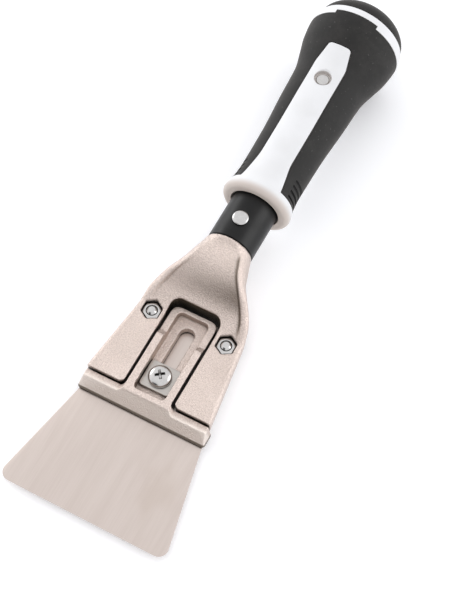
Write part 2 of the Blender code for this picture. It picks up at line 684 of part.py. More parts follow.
def make_tube(axis, materials):
    """Neck tube with its cross holes, and the rivet and the pin that sit in them."""
    bore = TUBE_RADIUS - TUBE_WALL
    wall = [(TUBE_RADIUS, GAP), (TUBE_RADIUS, TUBE_LENGTH), (bore, TUBE_LENGTH), (bore, GAP)]
    tube = piece(turned("neck_tube", wall, closed=True), axis, material=materials["black"])
    pin_y = TUBE_EXPOSED + PIN_DISTANCE
    shape(tube, drill("tube_rivet_hole", RIVET_RADIUS + GAP, -FAR, FAR), at=(0.0, RIVET_DISTANCE, 0.0))
    shape(tube, drill("tube_pin_hole", PIN_RADIUS + GAP, -FAR, FAR), at=(0.0, pin_y, 0.0))

    seat = TUBE_RADIUS + GAP
    crown = []
    for turn in spread(0.0, math.pi / 2.0, ARC_STEPS):
        rise = mix(0.25, 1.0, math.sin(turn)) * RIVET_HEAD_HEIGHT
        crown.append((RIVET_HEAD_RADIUS * math.cos(turn), seat + rise))
    upper = [(RIVET_RADIUS, 0.0), (RIVET_RADIUS, seat), (RIVET_HEAD_RADIUS, seat)] + crown
    lower = [(radius, -along) for radius, along in reversed(upper[1:])]
    rivet = turned("neck_rivet", lower + upper, "Z", SMALL_STEPS)
    piece(rivet, axis, (0.0, RIVET_DISTANCE, 0.0), materials["bright"])

    reach = handle_radius(PIN_DISTANCE) - PIN_RECESS_DEPTH + PIN_CHAMFER
    pin = [(PIN_RADIUS - PIN_CHAMFER, -reach), (PIN_RADIUS, PIN_CHAMFER - reach)]
    pin += [(radius, -along) for radius, along in reversed(pin)]
    piece(turned("handle_pin", pin, "Z", SMALL_STEPS), axis, (0.0, pin_y, 0.0), materials["bright"])


def handle_stations():
    """Distance and radius at each place that shapes the handle."""
    swell = tuple((GRIP_LENGTH - ahead, wall) for ahead, wall in SWELL_STATIONS)
    ends = ((GRIP_LENGTH, BULB_WALL), (RING_END, RING_WALL))
    walls = ((FLANGE_ROUND, FLANGE_WALL),) + WAIST_STATIONS + swell + ends
    return [(distance, TUBE_RADIUS + wall) for distance, wall in walls]


def handle_radius(distance):
    return curve(handle_stations(), distance)


def sleeve_form(name, handle, grow, outside, material=None):
    """The sleeve's shape, or with a growth the space that the core leaves for it."""
    front = SLEEVE_FRONT - grow
    back = SLEEVE_BACK + SLEEVE_TAB + grow
    outer = [(handle_radius(y) + outside, y) for y in spread(front, back, 14)]
    inner = [(handle_radius(y) - SLEEVE_THICKNESS - grow, y) for y in spread(back, front, 14)]
    form = piece(turned(name, outer + inner, closed=True), handle, material=material)

    extra = GAP - grow
    tip = GRIP_LENGTH - SPINE_TIP
    spine = rounded(
        mirrored(
            [
                (SPINE_FRONT_WIDTH / 2.0 + extra, SLEEVE_FRONT - NEAR, 0.0),
                (SPINE_WIDTH / 2.0 + extra, SPINE_WAIST, SPINE_CURVE),
                (SPINE_WIDTH / 2.0 + extra, tip - SPINE_TAPER_LENGTH, SPINE_BEND),
                (SPINE_TIP_WIDTH / 2.0 + extra, tip + extra, SPINE_CORNER),
            ]
        )
    )
    shape(form, extruded(f"{name}_spine", spine, "Z", -FAR, FAR))
    tab = SLEEVE_TAB_WIDTH / 2.0 + grow
    notches = []
    for side in (-1.0, 1.0):
        low, high = sorted((side * tab, side * FAR))
        corners = [(low, SLEEVE_BACK + grow), (high, SLEEVE_BACK + grow), (high, RING_END), (low, RING_END)]
        notches.append(extruded("notch", corners, "Z", -FAR, FAR))
    shape(form, joined(f"{name}_notches", notches))
    return form


def groove(distance, side):
    """Round bar along one grip groove."""
    rings = []
    radius = GROOVE_WIDTH / 2.0
    for angle in spread(GROOVE_ANGLES[0], GROOVE_ANGLES[1], 6):
        outward = Vector((side * math.sin(angle), 0.0, math.cos(angle)))
        centre = outward * handle_radius(distance) + Vector((0.0, distance, 0.0))
        ring = []
        for i in range(8):
            turn = math.radians(45.0 * i + 22.5)
            along = Vector((0.0, radius * math.sin(turn), 0.0))
            ring.append(centre + outward * radius * math.cos(turn) + along)
        rings.append(ring)
    return skin("groove", rings)


def make_handle(axis, materials):
    handle = empty("handle_front", (0.0, TUBE_EXPOSED, 0.0), axis)
    socket = RING_END - PLUG_LENGTH - GAP
    bore_end = TUBE_LENGTH + GAP - TUBE_EXPOSED
    mouth = TUBE_RADIUS + MOUTH_GAP
    flange = []
    for turn in spread(math.pi / 2.0, 0.0, ARC_STEPS):
        r = TUBE_RADIUS + FLANGE_WALL - FLANGE_ROUND * (1.0 - math.cos(turn))
        flange.append((r, FLANGE_ROUND * (1.0 - math.sin(turn))))
    seam = SLEEVE_FRONT - GAP
    stations = [mix(FLANGE_ROUND, seam, 0.5)] + spread(seam, RING_END, 20)
    outside = flange + [(handle_radius(y), y) for y in stations]
    core = piece(turned("handle_core", outside), handle, material=materials["white"])
    pocket = sleeve_form("sleeve_pocket", handle, GAP, NEAR)
    pocket.hide_render = True
    pocket.display_type = "WIRE"
    cut = core.modifiers.new("sleeve_pocket", "BOOLEAN")
    cut.solver = "EXACT"
    cut.object = pocket
    bore = [
        (mouth, -FAR),
        (mouth, MOUTH_DEPTH),
        (TUBE_RADIUS + GAP, MOUTH_DEPTH + MOUTH_GAP),
        (TUBE_RADIUS + GAP, bore_end),
    ]
    shape(core, turned("core_bore", bore))
    shape(core, turned("core_socket", [(PLUG_RADIUS + GAP, socket), (PLUG_RADIUS + GAP, RING_END + FAR)]))
    shape(core, drill("core_pin_hole", PIN_RADIUS + GAP, -FAR, FAR), at=(0.0, PIN_DISTANCE, 0.0))
    floor = handle_radius(PIN_DISTANCE) - PIN_RECESS_DEPTH
    recesses = [
        drill("recess", PIN_RECESS_RADIUS, floor, FAR),
        drill("recess", PIN_RECESS_RADIUS, -FAR, -floor),
    ]
    shape(core, joined("core_pin_recesses", recesses), at=(0.0, PIN_DISTANCE, 0.0))

    sleeve = sleeve_form("grip_sleeve", handle, 0.0, 0.0, materials["rubber"])
    grooves = [groove(distance, side) for distance in GROOVE_DISTANCES for side in (-1.0, 1.0)]
    shape(sleeve, joined("grip_grooves", grooves))

    seat = RING_END + GAP
    dome = []
    for turn in spread(0.0, math.pi / 2.0, 2 * ARC_STEPS):
        dome.append((CAP_RADIUS * math.cos(turn), seat + CAP_DEPTH * math.sin(turn)))
    plug = [(PLUG_RADIUS, RING_END - PLUG_LENGTH), (PLUG_RADIUS, seat)]
    piece(turned("end_cap", plug + dome), handle, material=materials["rubber"])


def build():
    for obj in list(bpy.data.objects):
        bpy.data.objects.remove(obj, do_unlink=True)
    materials = {
        "cast": finish("cast_head", (0.64, 0.56, 0.50), 0.50, 1.0),
        "blade": finish("blade_steel", (0.68, 0.62, 0.58), 0.36, 1.0),
        "plate": finish("plate_steel", (0.58, 0.56, 0.54), 0.38, 1.0),
        "bright": finish("bright_fixings", (0.80, 0.79, 0.77), 0.20, 1.0),
        "black": finish("black_tube", (0.03, 0.03, 0.03), 0.42),
        "white": finish("white_core", (0.88, 0.87, 0.86), 0.38),
        "rubber": finish("black_grip", (0.045, 0.042, 0.040), 0.62),
    }
    root = empty("scraper", (0.0, -(BUTT + EDGE) / 2.0, 0.0))
    axis = empty("handle_axis", (0.0, 0.0, AXIS_HEIGHT), root)
    make_blade(root, materials["blade"])
    make_head(root, materials["cast"])
    make_back_plate(root, materials["plate"])
    make_bolts(root, materials["bright"])
    make_slide(root, materials["cast"])
    make_clamp(root, materials)
    make_tube(axis, materials)
    make_handle(axis, materials)


build()
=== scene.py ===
# %% [markdown]
# # A blade scraper with a sliding blade support
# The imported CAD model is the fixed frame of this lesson: it says where every piece sits and which
# body it moves with. The CAD pieces are plain and faceted, so each one that shows is made again
# with softer edges, finer curves and a finish of its own, at its place and very nearly at its size.

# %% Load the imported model
import math

import bmesh
import bpy
from mathutils import Matrix, Vector


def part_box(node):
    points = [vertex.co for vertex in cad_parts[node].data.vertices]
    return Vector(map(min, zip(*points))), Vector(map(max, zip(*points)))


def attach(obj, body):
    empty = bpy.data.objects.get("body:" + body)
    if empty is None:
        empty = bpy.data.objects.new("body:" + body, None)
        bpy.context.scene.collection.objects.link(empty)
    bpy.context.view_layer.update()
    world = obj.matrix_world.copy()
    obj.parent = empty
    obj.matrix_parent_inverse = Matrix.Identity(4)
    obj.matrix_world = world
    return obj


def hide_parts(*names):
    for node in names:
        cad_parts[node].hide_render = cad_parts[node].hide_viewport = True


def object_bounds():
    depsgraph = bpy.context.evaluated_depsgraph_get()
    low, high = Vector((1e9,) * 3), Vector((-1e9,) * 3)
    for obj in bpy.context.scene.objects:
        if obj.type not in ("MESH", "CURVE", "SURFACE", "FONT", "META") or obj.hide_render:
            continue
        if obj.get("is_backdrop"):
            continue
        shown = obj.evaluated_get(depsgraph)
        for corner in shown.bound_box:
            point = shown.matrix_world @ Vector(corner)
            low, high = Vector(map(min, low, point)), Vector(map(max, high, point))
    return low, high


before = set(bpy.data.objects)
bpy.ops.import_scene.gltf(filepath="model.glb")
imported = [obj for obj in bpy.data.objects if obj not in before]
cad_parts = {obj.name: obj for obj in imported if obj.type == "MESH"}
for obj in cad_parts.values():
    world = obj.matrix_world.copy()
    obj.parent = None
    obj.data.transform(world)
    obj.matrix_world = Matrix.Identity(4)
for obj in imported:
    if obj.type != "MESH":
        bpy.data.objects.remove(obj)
cad_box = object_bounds()

# %% [markdown]
# The maker's sizes come first, in millimetres as on a drawing. Lengths run from the joint between
# the cast head and the tube, with the head at negative Y, and heights from the floor that the tool
# lies on. One shift puts the joint at its place in the frame.

# %% Sizes of the blade and the head
MM = 0.001
GAP = 0.3 * MM  # clearance between neighbours
FAR = 40.0 * MM  # how far a cutter reaches past what it cuts
JOINT = -4.9 * MM  # place of the joint in the frame
AXIS = 21.2 * MM  # height of the handle's axis
TUBE = 10.2 * MM  # radius of the tube
BLADE_LOW = 2.7 * MM
BLADE_TOP = 3.5 * MM
BLADE_WIDTH = 75.0 * MM  # at the edge, before its corners are rounded
EDGE = -122.5 * MM
FLARE = 46.0 * MM  # length over which the blade widens
ARM_END = -68.1 * MM
ARM_TOP = 12.0 * MM
UNDERSIDE = 3.8 * MM
NECK_SLOPE = 0.32  # how fast the neck widens at first
NECK_END = 11.0 * MM
SHOULDER = 28.0 * MM  # distance at which the straight arms begin
SHOULDER_WIDTH = 45.8 * MM
ARM_WIDTH = 56.2 * MM
DISH = 33.0 * MM  # length of the dished ramp
RIM = 1.8 * MM  # least width of a side rim
RIM_HEIGHT = 3.0 * MM
WINDOW = 11.4 * MM  # half of its width
WINDOW_BACK = -25.9 * MM
BOLT_X = 17.05 * MM
BOLT_Y = -34.6 * MM
BOLT_HOLE = 2.3 * MM  # radius
NUT_POCKET = 8.0 * MM  # across flats
NUT_SEAT = 6.7 * MM
SCREW_Y = -58.4 * MM
BUSH_HOLE = 4.7 * MM  # radius
print("blade width", BLADE_WIDTH, "length", cad_box[1].y - cad_box[0].y)

# %% Sizes of the support, the clamp and the handle
TONGUE = 10.2 * MM  # half of its width
TONGUE_LENGTH = 40.5 * MM
NOSE = 28.8 * MM  # half of its width
NOSE_FRONT = -7.3367 * MM  # from the ends of the arms
POCKET = 7.0 * MM  # half of its width
POCKET_FLOOR = 7.3 * MM
SCREW = 2.5 * MM  # radius
HANDLE = 22.0 * MM  # where the handle begins
PIN = 61.5 * MM  # from there, as the next two
SLEEVE_END = 93.8 * MM
RING_END = 97.3 * MM
PIN_WELL = 2.3 * MM  # depth
print("handle from", HANDLE, "to", HANDLE + RING_END)

# %% [markdown]
# Shapes are built as rows of rings that get a skin, like ribs under a hull. A prism is two rings, a
# turned piece is a row of circles, and the cast head is a row of sections that change on the way.
# Corners of flat outlines are rounded one by one, because real corners are never quite sharp.

# %% Rings and outlines
def mix(a, b, t):
    return a + (b - a) * t


def ease(t):
    t = min(max(t, 0.0), 1.0)
    return t * t * (3.0 - 2.0 * t)


def spread(start, end, steps):
    return [mix(start, end, i / steps) for i in range(steps + 1)]


def rounded(corners, steps=10):
    """Outline through (x, y, radius) corners, each rounded by its own radius."""
    outline = []
    for i, (x, y, radius) in enumerate(corners):
        here = Vector((x, y))
        if radius == 0.0:
            outline.append((x, y))
            continue
        before = (Vector(corners[i - 1][:2]) - here).normalized()
        after = (Vector(corners[(i + 1) % len(corners)][:2]) - here).normalized()
        half = before.angle(after) / 2.0
        centre = here + (before + after).normalized() * radius / math.sin(half)
        first = here + before * radius / math.tan(half) - centre
        last = here + after * radius / math.tan(half) - centre
        start = math.atan2(first.y, first.x)
        sweep = math.remainder(math.atan2(last.y, last.x) - start, 2.0 * math.pi)
        for angle in spread(start, start + sweep, steps):
            outline.append((centre.x + radius * math.cos(angle), centre.y + radius * math.sin(angle)))
    return outline


def both_sides(half):
    """Closes a right-hand half outline, given from front to back, with its mirror image."""
    return half + [(-corner[0],) + tuple(corner[1:]) for corner in reversed(half)]


print("a rounded strip has", len(rounded(both_sides([(1, 0, 0.2), (1, 3, 0.2)]))), "points")

# %% Skins and prisms
WELD = 0.001 * MM  # points closer than this become one


def skin(rings, closed=False):
    """Mesh through a row of equal rings, capped at both ends unless the row closes on itself."""
    bm = bmesh.new()
    loops = [[bm.verts.new(point) for point in ring] for ring in rings]
    rows = list(zip(loops, loops[1:]))
    if closed:
        rows.append((loops[-1], loops[0]))
    else:
        bm.faces.new(loops[0])
        bm.faces.new(loops[-1])
    for near, far in rows:
        for i in range(len(near)):
            bm.faces.new((near[i - 1], near[i], far[i], far[i - 1]))
    bmesh.ops.remove_doubles(bm, verts=bm.verts, dist=WELD)
    bmesh.ops.recalc_face_normals(bm, faces=bm.faces)
    mesh = bpy.data.meshes.new("skin")
    bm.to_mesh(mesh)
    bm.free()
    return mesh


def prism(outline, low, high, axis="Z"):
    """Prism of an outline: (x, y) along Z, (x, z) along Y or (y, z) along X."""
    order = {"X": (2, 0, 1), "Y": (0, 2, 1), "Z": (0, 1, 2)}[axis]
    return skin([[[(u, v, w)[i] for i in order] for u, v in outline] for w in (low, high)])


def slab(half, low, high, steps=10):
    """Prism of a right-hand half outline with rounded corners, and of its mirror image."""
    return prism(rounded(both_sides(half), steps), low, high)


print("a slab has", len(slab([(1, 0, 0.2), (1, 3, 0.2)], 0, 1).polygons), "faces")

# %% Turned pieces
POLE = 0.02 * MM  # smallest radius, so that an end on the axis stays a clean disc


def turned(profile, axis="Z", steps=64, closed=False):
    """Piece turned on a lathe from (radius, distance) pairs."""
    angles = [2.0 * math.pi * (i + 0.5) / steps for i in range(steps)]
    rings = []
    for radius, along in profile:
        radius = max(radius, POLE)
        circle = [(radius * math.cos(a), radius * math.sin(a)) for a in angles]
        rings.append([(u, along, v) if axis == "Y" else (u, v, along) for u, v in circle])
    return skin(rings, closed)


def moved(mesh, x=0.0, y=0.0, z=0.0):
    mesh.transform(Matrix.Translation((x, y, z)))
    return mesh


print("a turned rod has", len(turned([(1.0, 0.0), (1.0, 1.0)]).polygons), "faces")

# %% [markdown]
# Cutting, rounding and softening are Blender modifiers. Each is put on a blank and its result kept as
# a plain mesh, so a finished piece has no live modifier. A casting gets the softened edges of its
# mould from a voxel remesh and a little smoothing; a machined piece gets a bevel.

# %% Keeping what a modifier makes
def in_scene(name, data):
    """A new object in the scene."""
    thing = bpy.data.objects.new(name, data)
    bpy.context.scene.collection.objects.link(thing)
    return thing


def kept(blank, *helpers):
    """The plain mesh that a blank's modifiers make; the blank and its helpers go."""
    bpy.context.view_layer.update()
    depsgraph = bpy.context.evaluated_depsgraph_get()
    mesh = bpy.data.meshes.new_from_object(blank.evaluated_get(depsgraph))
    for thing in (blank, *helpers):
        bpy.data.objects.remove(thing, do_unlink=True)
    return mesh


def worked(mesh, kind, **settings):
    """The plain mesh that one modifier makes; a mesh among the settings is a cutter."""
    blank = in_scene("blank", mesh)
    cutters = []
    modifier = blank.modifiers.new(kind, kind)
    for name, value in settings.items():
        if isinstance(value, bpy.types.Mesh):
            value = in_scene("cutter", value)
            cutters.append(value)
        setattr(modifier, name, value)
    return kept(blank, *cutters)


trial = worked(turned([(1.0, 0.0), (1.0, 1.0)]), "TRIANGULATE")
print("a turned rod has", len(trial.polygons), "triangles")

# %% Cutting and softening
def cut(mesh, cutter, operation="DIFFERENCE"):
    return worked(mesh, "BOOLEAN", operation=operation, solver="EXACT", object=cutter)


def bevelled(mesh, width, segments=3):
    corner = math.radians(60.0)
    return worked(mesh, "BEVEL", width=width, segments=segments, limit_method="ANGLE", angle_limit=corner)


def softened(mesh, voxel, rounds):
    mesh = worked(mesh, "REMESH", mode="VOXEL", voxel_size=voxel)
    return worked(mesh, "SMOOTH", factor=0.5, iterations=rounds)


def drill(radius, low, high, x=0.0, y=0.0):
    return moved(turned([(radius, low), (radius, high)], steps=48), x, y)


print("a drill has", len(drill(1.0, 0.0, 1.0).polygons), "faces")

# %% [markdown]
# A finished mesh becomes an object that rides on a body, takes its finish and stands for the CAD
# nodes that it replaces. The print says how far its box is from theirs, so a piece that strays is
# noticed at once.

# %% Putting a finished piece into the frame
def add_piece(name, mesh, finish, slot, *nodes, body="tool", sharp=35.0):
    """Object of a finished mesh that rides on a body and stands for its CAD nodes."""
    mesh.name = name
    moved(mesh, y=JOINT)
    mesh.materials.clear()
    mesh.materials.append(finish)
    mesh.shade_smooth()
    if sharp:
        mesh.set_sharp_from_angle(angle=math.radians(sharp))
    piece = in_scene(name, mesh)
    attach(piece, body)
    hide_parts(*nodes)
    planned = [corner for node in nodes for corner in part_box(node)]
    made = [Vector(corner) for corner in piece.bound_box]
    off = 0.0
    for i in range(3):
        for end in (min, max):
            off = max(off, abs(end(c[i] for c in made) - end(c[i] for c in planned)))
    print(f"{name}: {len(mesh.polygons)} faces, box within {off / MM:.2f} mm of the CAD")


print("add_piece can replace", len(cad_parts), "CAD nodes")

# %% [markdown]
# Finishes are small node trees. Writing them as arithmetic keeps them readable, so one class wraps
# an output socket: plus, minus and times add Math nodes, and one method adds any other node with its
# settings first and then the values or links of its sockets.

# %% Arithmetic on sockets
class Wire:
    """An output socket that can be added, multiplied and fed to further nodes."""

    def __init__(self, tree, socket=None):
        self.tree = tree
        self.socket = socket

    def node(self, kind, settings=None, inputs=None, output=0):
        made = self.tree.nodes.new(kind)
        for name, value in (settings or {}).items():
            setattr(made, name, value)
        for name, value in (inputs or {}).items():
            if isinstance(value, Wire):
                self.tree.links.new(value.socket, made.inputs[name])
            else:
                made.inputs[name].default_value = value
        return Wire(self.tree, made.outputs[output])

    def maths(self, operation, a, b):
        return self.node("ShaderNodeMath", {"operation": operation}, {0: a, 1: b})

    def __add__(self, other):
        return self.maths("ADD", self, other)

    def __sub__(self, other):
        return self.maths("SUBTRACT", self, other)

    def __rsub__(self, other):
        return self.maths("SUBTRACT", other, self)

    def __mul__(self, other):
        return self.maths("MULTIPLY", self, other)

    __radd__ = __add__
    __rmul__ = __mul__

    def between(self, low, high, start=0.0, end=1.0):
        """The value's place between two limits, eased, as a new range."""
        settings = {"interpolation_type": "SMOOTHSTEP"}
        limits = {"From Min": low, "From Max": high, "To Min": start, "To Max": end}
        return self.node("ShaderNodeMapRange", settings, {"Value": self, **limits})

    def axis(self, name):
        """One part, X, Y or Z, of a place or a direction."""
        return self.node("ShaderNodeSeparateXYZ", {}, {"Vector": self}, name)


print("a wire takes plus, minus and times")

# %% Starting a finish
def start_finish(name):
    """A new material, its Object coordinates to build from and what feeds its shader."""
    material = bpy.data.materials.new(name)
    material.use_nodes = True
    shader = material.node_tree.nodes["Principled BSDF"]
    place = Wire(material.node_tree).node("ShaderNodeTexCoord", output="Object")

    def feed(**sockets):
        """Links wires to the shader's sockets, or sets plain numbers on them."""
        for label, value in sockets.items():
            socket = shader.inputs[label.replace("_", " ")]
            if isinstance(value, Wire):
                value.tree.links.new(value.socket, socket)
            else:
                socket.default_value = value

    return material, place, feed


def report(material):
    print(material.name, "has", len(material.node_tree.nodes), "nodes")


print("a finish feeds one shader")

# %% Grain, bumps and crevices
def grain(place, scale, detail=2.0, stretch=(1.0, 1.0, 1.0), roughness=0.5):
    """Noise with spots about 1/scale metres wide, drawn out along an axis where asked."""
    spot = place.node("ShaderNodeMapping", {}, {"Vector": place, "Scale": stretch})
    sizes = {"Scale": scale, "Detail": detail, "Roughness": roughness}
    return place.node("ShaderNodeTexNoise", {}, {"Vector": spot, **sizes})


def blend(share, first, second):
    """Mix of two colours by a share from 0 to 1."""
    ends = [c if isinstance(c, Wire) else (*c, 1.0) for c in (first, second)]
    settings = {"data_type": "RGBA", "clamp_factor": True}
    return share.node("ShaderNodeMix", settings, {0: share, 6: ends[0], 7: ends[1]}, 2)


def crevice(place, reach, low=0.15, high=0.55):
    """From 1 deep in narrow gaps and corners to 0 on open faces; the finishes use it to paint shade."""
    settings = {"samples": 8}
    open_share = place.node("ShaderNodeAmbientOcclusion", settings, {"Distance": reach}, "AO")
    return open_share.between(low, high, 1.0, 0.0)


def bumps(height, strength, depth):
    return height.node("ShaderNodeBump", {}, {"Height": height, "Strength": strength, "Distance": depth})


print("a finish has grain, bumps and crevices")

# %% [markdown]
# The head and the support are die castings with a warm, satin finish: blasted with fine beads and
# plated. Close up it is a field of tiny pits, so a fine noise drives colour, roughness and bump
# together; a broad, faint cloud keeps big faces from looking painted. Rubbed edges are a little
# brighter from wear. The slope of the nose bar is painted lighter, as painted light, with a lighter
# line along its lower edge.

# %% Cast metal
cast_metal, place, feed = start_finish("cast_metal")
pits = grain(place, 1750.0, 3.0, roughness=0.6)
cloud = grain(place, 60.0)
bend = place.node("ShaderNodeNewGeometry", output="Pointiness")
rubbed = bend.between(0.51, 0.58)
tone = pits.between(0.32, 0.68) * 0.78 + cloud.between(0.3, 0.7) * 0.22
plated = blend(tone, (0.528, 0.446, 0.40), (0.735, 0.63, 0.572))
along = place.axis("Y")
height = place.axis("Z")
# Painted light: the slope of the nose bar is made lighter in colour, with a lighter line along its lower
# edge.
nose_painted_light = along.between(-76.5 * MM, -74.8 * MM, 0.9, 0.0)
nose_lip = nose_painted_light * height.between(BLADE_TOP + 2.2 * MM, BLADE_TOP + 3.0 * MM, 0.5, 0.0)
# Rubbed edges are lighter from wear; the nose bar's lighter colour is painted light.
worn_and_lit = blend(rubbed * 0.25 + nose_painted_light * 1.05 + nose_lip, plated, (0.82, 0.735, 0.67))
feed(Metallic=1.0, Roughness=0.25 + pits * 0.12 - rubbed * 0.05, Normal=bumps(pits, 1.0, 0.42 * MM))
report(cast_metal)

# %% [markdown]
# Painted shade darkens the cast metal where little light reaches: in hollows and corners, in narrow
# gaps, under the nose bar and in the dish of the head. Pointiness and Ambient Occlusion find hollows
# and gaps. The painted shade in the dish follows no such rule, so the head's points carry it as an
# attribute, which is written when the head is made. A piece without it reads zero.

# %% Painted shade on the cast metal
# Painted shade: a dark band along the foot of the nose bar, where it stands on the blade.
under_lip = height.between(BLADE_TOP + 1.7 * MM, BLADE_TOP + 2.1 * MM, 1.0, 0.0)
foot = along.between(-73.5 * MM, -73.2 * MM, 0.85, 0.0) * under_lip
# Painted shade read from the head's points: a dark band in the dish, a dark line by the right rim and a dark
# wall behind the window.
dish_shade = place.node("ShaderNodeAttribute", {"attribute_name": "dish_shade"}, {}, "Fac")
# Painted shade in concave corners (Pointiness) and in small gaps (Ambient Occlusion).
hollow_shade = bend.between(0.455, 0.495, 1.0, 0.0)
shaded_metal = blend(hollow_shade * 0.5 + crevice(place, 1.6 * MM, 0.45, 0.85) * 0.5, worn_and_lit, (0.17, 0.128, 0.10))
shaded_metal = blend(foot + dish_shade, shaded_metal, (0.105, 0.082, 0.058))
# Painted shadow: deep gaps and corners are made nearly black.
feed(Base_Color=blend(crevice(place, 5.0 * MM) * 0.95, shaded_metal, (0.02, 0.016, 0.013)))
report(cast_metal)

# %% [markdown]
# The blade is rolled spring steel, ground along its length. The wheel leaves streaks that run from
# the head to the cutting edge: noise that is drawn out along Y. Broad faint bands and a few light
# stains come from handling. Painted shade darkens the blade next to the nose bar and in other
# narrow gaps.

# %% Ground blade steel
blade_steel, place, feed = start_finish("blade_steel")
streaks = grain(place, 2600.0, 3.0, (1.0, 0.02, 1.0), 0.6)
bands = grain(place, 260.0, 2.0, (1.0, 0.10, 1.0))
stains = grain(place, 55.0, 3.0, (1.0, 0.45, 1.0)).between(0.56, 0.72)
tone = streaks.between(0.25, 0.75) * 0.55 + bands.between(0.3, 0.7) * 0.45
steel = blend(tone, (0.573, 0.498, 0.453), (0.632, 0.557, 0.512))
stained = blend(stains * 0.45, steel, (0.52, 0.44, 0.385))
# Painted shade: the blade is darker where Ambient Occlusion finds a gap or a part close above it.
feed(Base_Color=blend(crevice(place, 1.5 * MM, 0.3, 0.62) * 0.9, stained, (0.05, 0.038, 0.03)))
feed(Metallic=1.0, Roughness=0.30 + streaks * 0.14, Normal=bumps(streaks, 0.10, 0.03 * MM))
report(blade_steel)

# %% [markdown]
# The washer plate and the back plate are stamped from sheet and tumbled: plain grey steel with a
# soft directional lay and faint cloudy patches, with painted shade in the corners.

# %% Stamped plate steel
plate_steel, place, feed = start_finish("plate_steel")
lay = grain(place, 3000.0, 2.0, (0.08, 1.0, 1.0))
cloud = grain(place, 180.0, 3.0)
tone = lay.between(0.3, 0.7) * 0.5 + cloud.between(0.3, 0.7) * 0.5
sheet = blend(tone, (0.46, 0.43, 0.40), (0.55, 0.52, 0.485))
# Painted shade in corners and gaps.
feed(Base_Color=blend(crevice(place, 3.0 * MM) * 0.6, sheet, (0.06, 0.05, 0.04)))
feed(Metallic=1.0, Roughness=0.30 + cloud * 0.12, Normal=bumps(lay, 0.08, 0.03 * MM))
report(plate_steel)

# %% [markdown]
# Screw, nuts, bolts, rivet and pin are bright: stainless or zinc plated. Their polish is broken by
# fine scratches and dull spots, so the roughness follows two noises. Gaps round them are painted
# dark, as painted shade.

# %% Bright fixings
bright_metal, place, feed = start_finish("bright_metal")
scratches = grain(place, 4200.0, 2.0, (1.0, 0.25, 1.0))
dull = grain(place, 520.0)
plating = blend(dull.between(0.3, 0.7), (0.535, 0.525, 0.515), (0.575, 0.565, 0.55))
# Painted shade in the gaps round the fixings.
gaps = crevice(place, 1.5 * MM, 0.1, 0.45) * 0.9
feed(Base_Color=blend(gaps, plating, (0.04, 0.035, 0.03)))
feed(Metallic=1.0, Roughness=0.14 + scratches * 0.10 + dull * 0.08)
feed(Normal=bumps(scratches, 0.06, 0.02 * MM))
report(bright_metal)

# %% [markdown]
# The tube is steel with a satin black coat, baked on. Such a coat has the slight orange peel of
# powder paint, and dust that greys it in patches.

# %% Black coat
black_coat, place, feed = start_finish("black_coat")
peel = grain(place, 1500.0)
dust = grain(place, 240.0, 4.0, roughness=0.7).between(0.45, 0.75)
feed(Base_Color=blend(dust, (0.004, 0.004, 0.004), (0.008, 0.0075, 0.007)))
feed(Roughness=0.36 + dust * 0.10, Normal=bumps(peel, 0.12, 0.03 * MM))
feed(Specular_IOR_Level=0.27)
report(black_coat)

# %% [markdown]
# The handle's core is white plastic from a spark-eroded mould, which leaves a very fine matt texture.
# A faint cloud stands for uneven colour. The front of the flange is painted a darker, warm tint,
# as painted shade and warm bounced light, and the corners get a warm painted shade.

# %% White plastic
white_plastic, place, feed = start_finish("white_plastic")
texture = grain(place, 3200.0)
cloud = grain(place, 90.0)
clean = blend(cloud.between(0.3, 0.7), (0.765, 0.77, 0.775), (0.805, 0.81, 0.82))
along = place.axis("Y")
FLANGE = HANDLE + JOINT
# Painted shade: the front face of the flange is given a darker, warm colour.
flange_front_shade = along.between(FLANGE + 0.4 * MM, FLANGE + 4.0 * MM, 1.0, 0.0)
front_shaded = blend(flange_front_shade, clean, (0.61, 0.54, 0.49))
# Painted shade: a darker, warm colour in corners and recesses.
corners = crevice(place, 6.0 * MM, 0.3, 0.95) * 0.5
feed(Base_Color=blend(corners, front_shaded, (0.50, 0.41, 0.34)))
feed(Roughness=0.40 + texture * 0.10, Normal=bumps(texture, 0.05, 0.02 * MM))
feed(Specular_IOR_Level=0.4)
report(white_plastic)

# %% [markdown]
# The sleeve and the end cap are charcoal elastomer. It is matt and slightly velvety, which a little
# sheen gives, with a fine stipple, cloudy dust and a few pale specks. The grooves are painted nearly
# black, as painted shade.

# %% Charcoal rubber
charcoal_rubber, place, feed = start_finish("charcoal_rubber")
stipple = grain(place, 2100.0, 3.0, roughness=0.6)
dust = grain(place, 130.0, 4.0, roughness=0.65).between(0.42, 0.75)
specks = grain(place, 900.0, 1.0).between(0.70, 0.76)
base = blend(dust, (0.012, 0.0115, 0.0105), (0.021, 0.0195, 0.018))
dusty = blend(specks * 0.25, base, (0.12, 0.115, 0.11))
# Painted shade: the grooves are made nearly black.
groove_shade = crevice(place, 2.0 * MM, 0.6, 0.95) * 0.95
feed(Base_Color=blend(groove_shade, dusty, (0.004, 0.004, 0.004)))
feed(Roughness=0.62 + stipple * 0.16, Normal=bumps(stipple, 0.30, 0.05 * MM))
feed(Specular_IOR_Level=0.35, Sheen_Weight=0.12, Sheen_Roughness=0.35)
feed(Sheen_Tint=(1.0, 0.92, 0.84, 1.0))
report(charcoal_rubber)

# %% [markdown]
# The head starts as the tube's circle and ends as two flat arms. Its section is mixed between the
# two on the way down, with side rims that stand above a dished middle. This is a loft by rule, so
# it is a row of sections; a sculpted mesh could look alike but could not be measured.

# %% Sections of the cast head
def head_half_width(distance):
    neck = TUBE + NECK_SLOPE * distance
    along = (distance - SHOULDER) / (-ARM_END - SHOULDER)
    arm = mix(SHOULDER_WIDTH, ARM_WIDTH, along) / 2.0
    return mix(neck, arm, ease((distance - NECK_END) / (SHOULDER - NECK_END)))


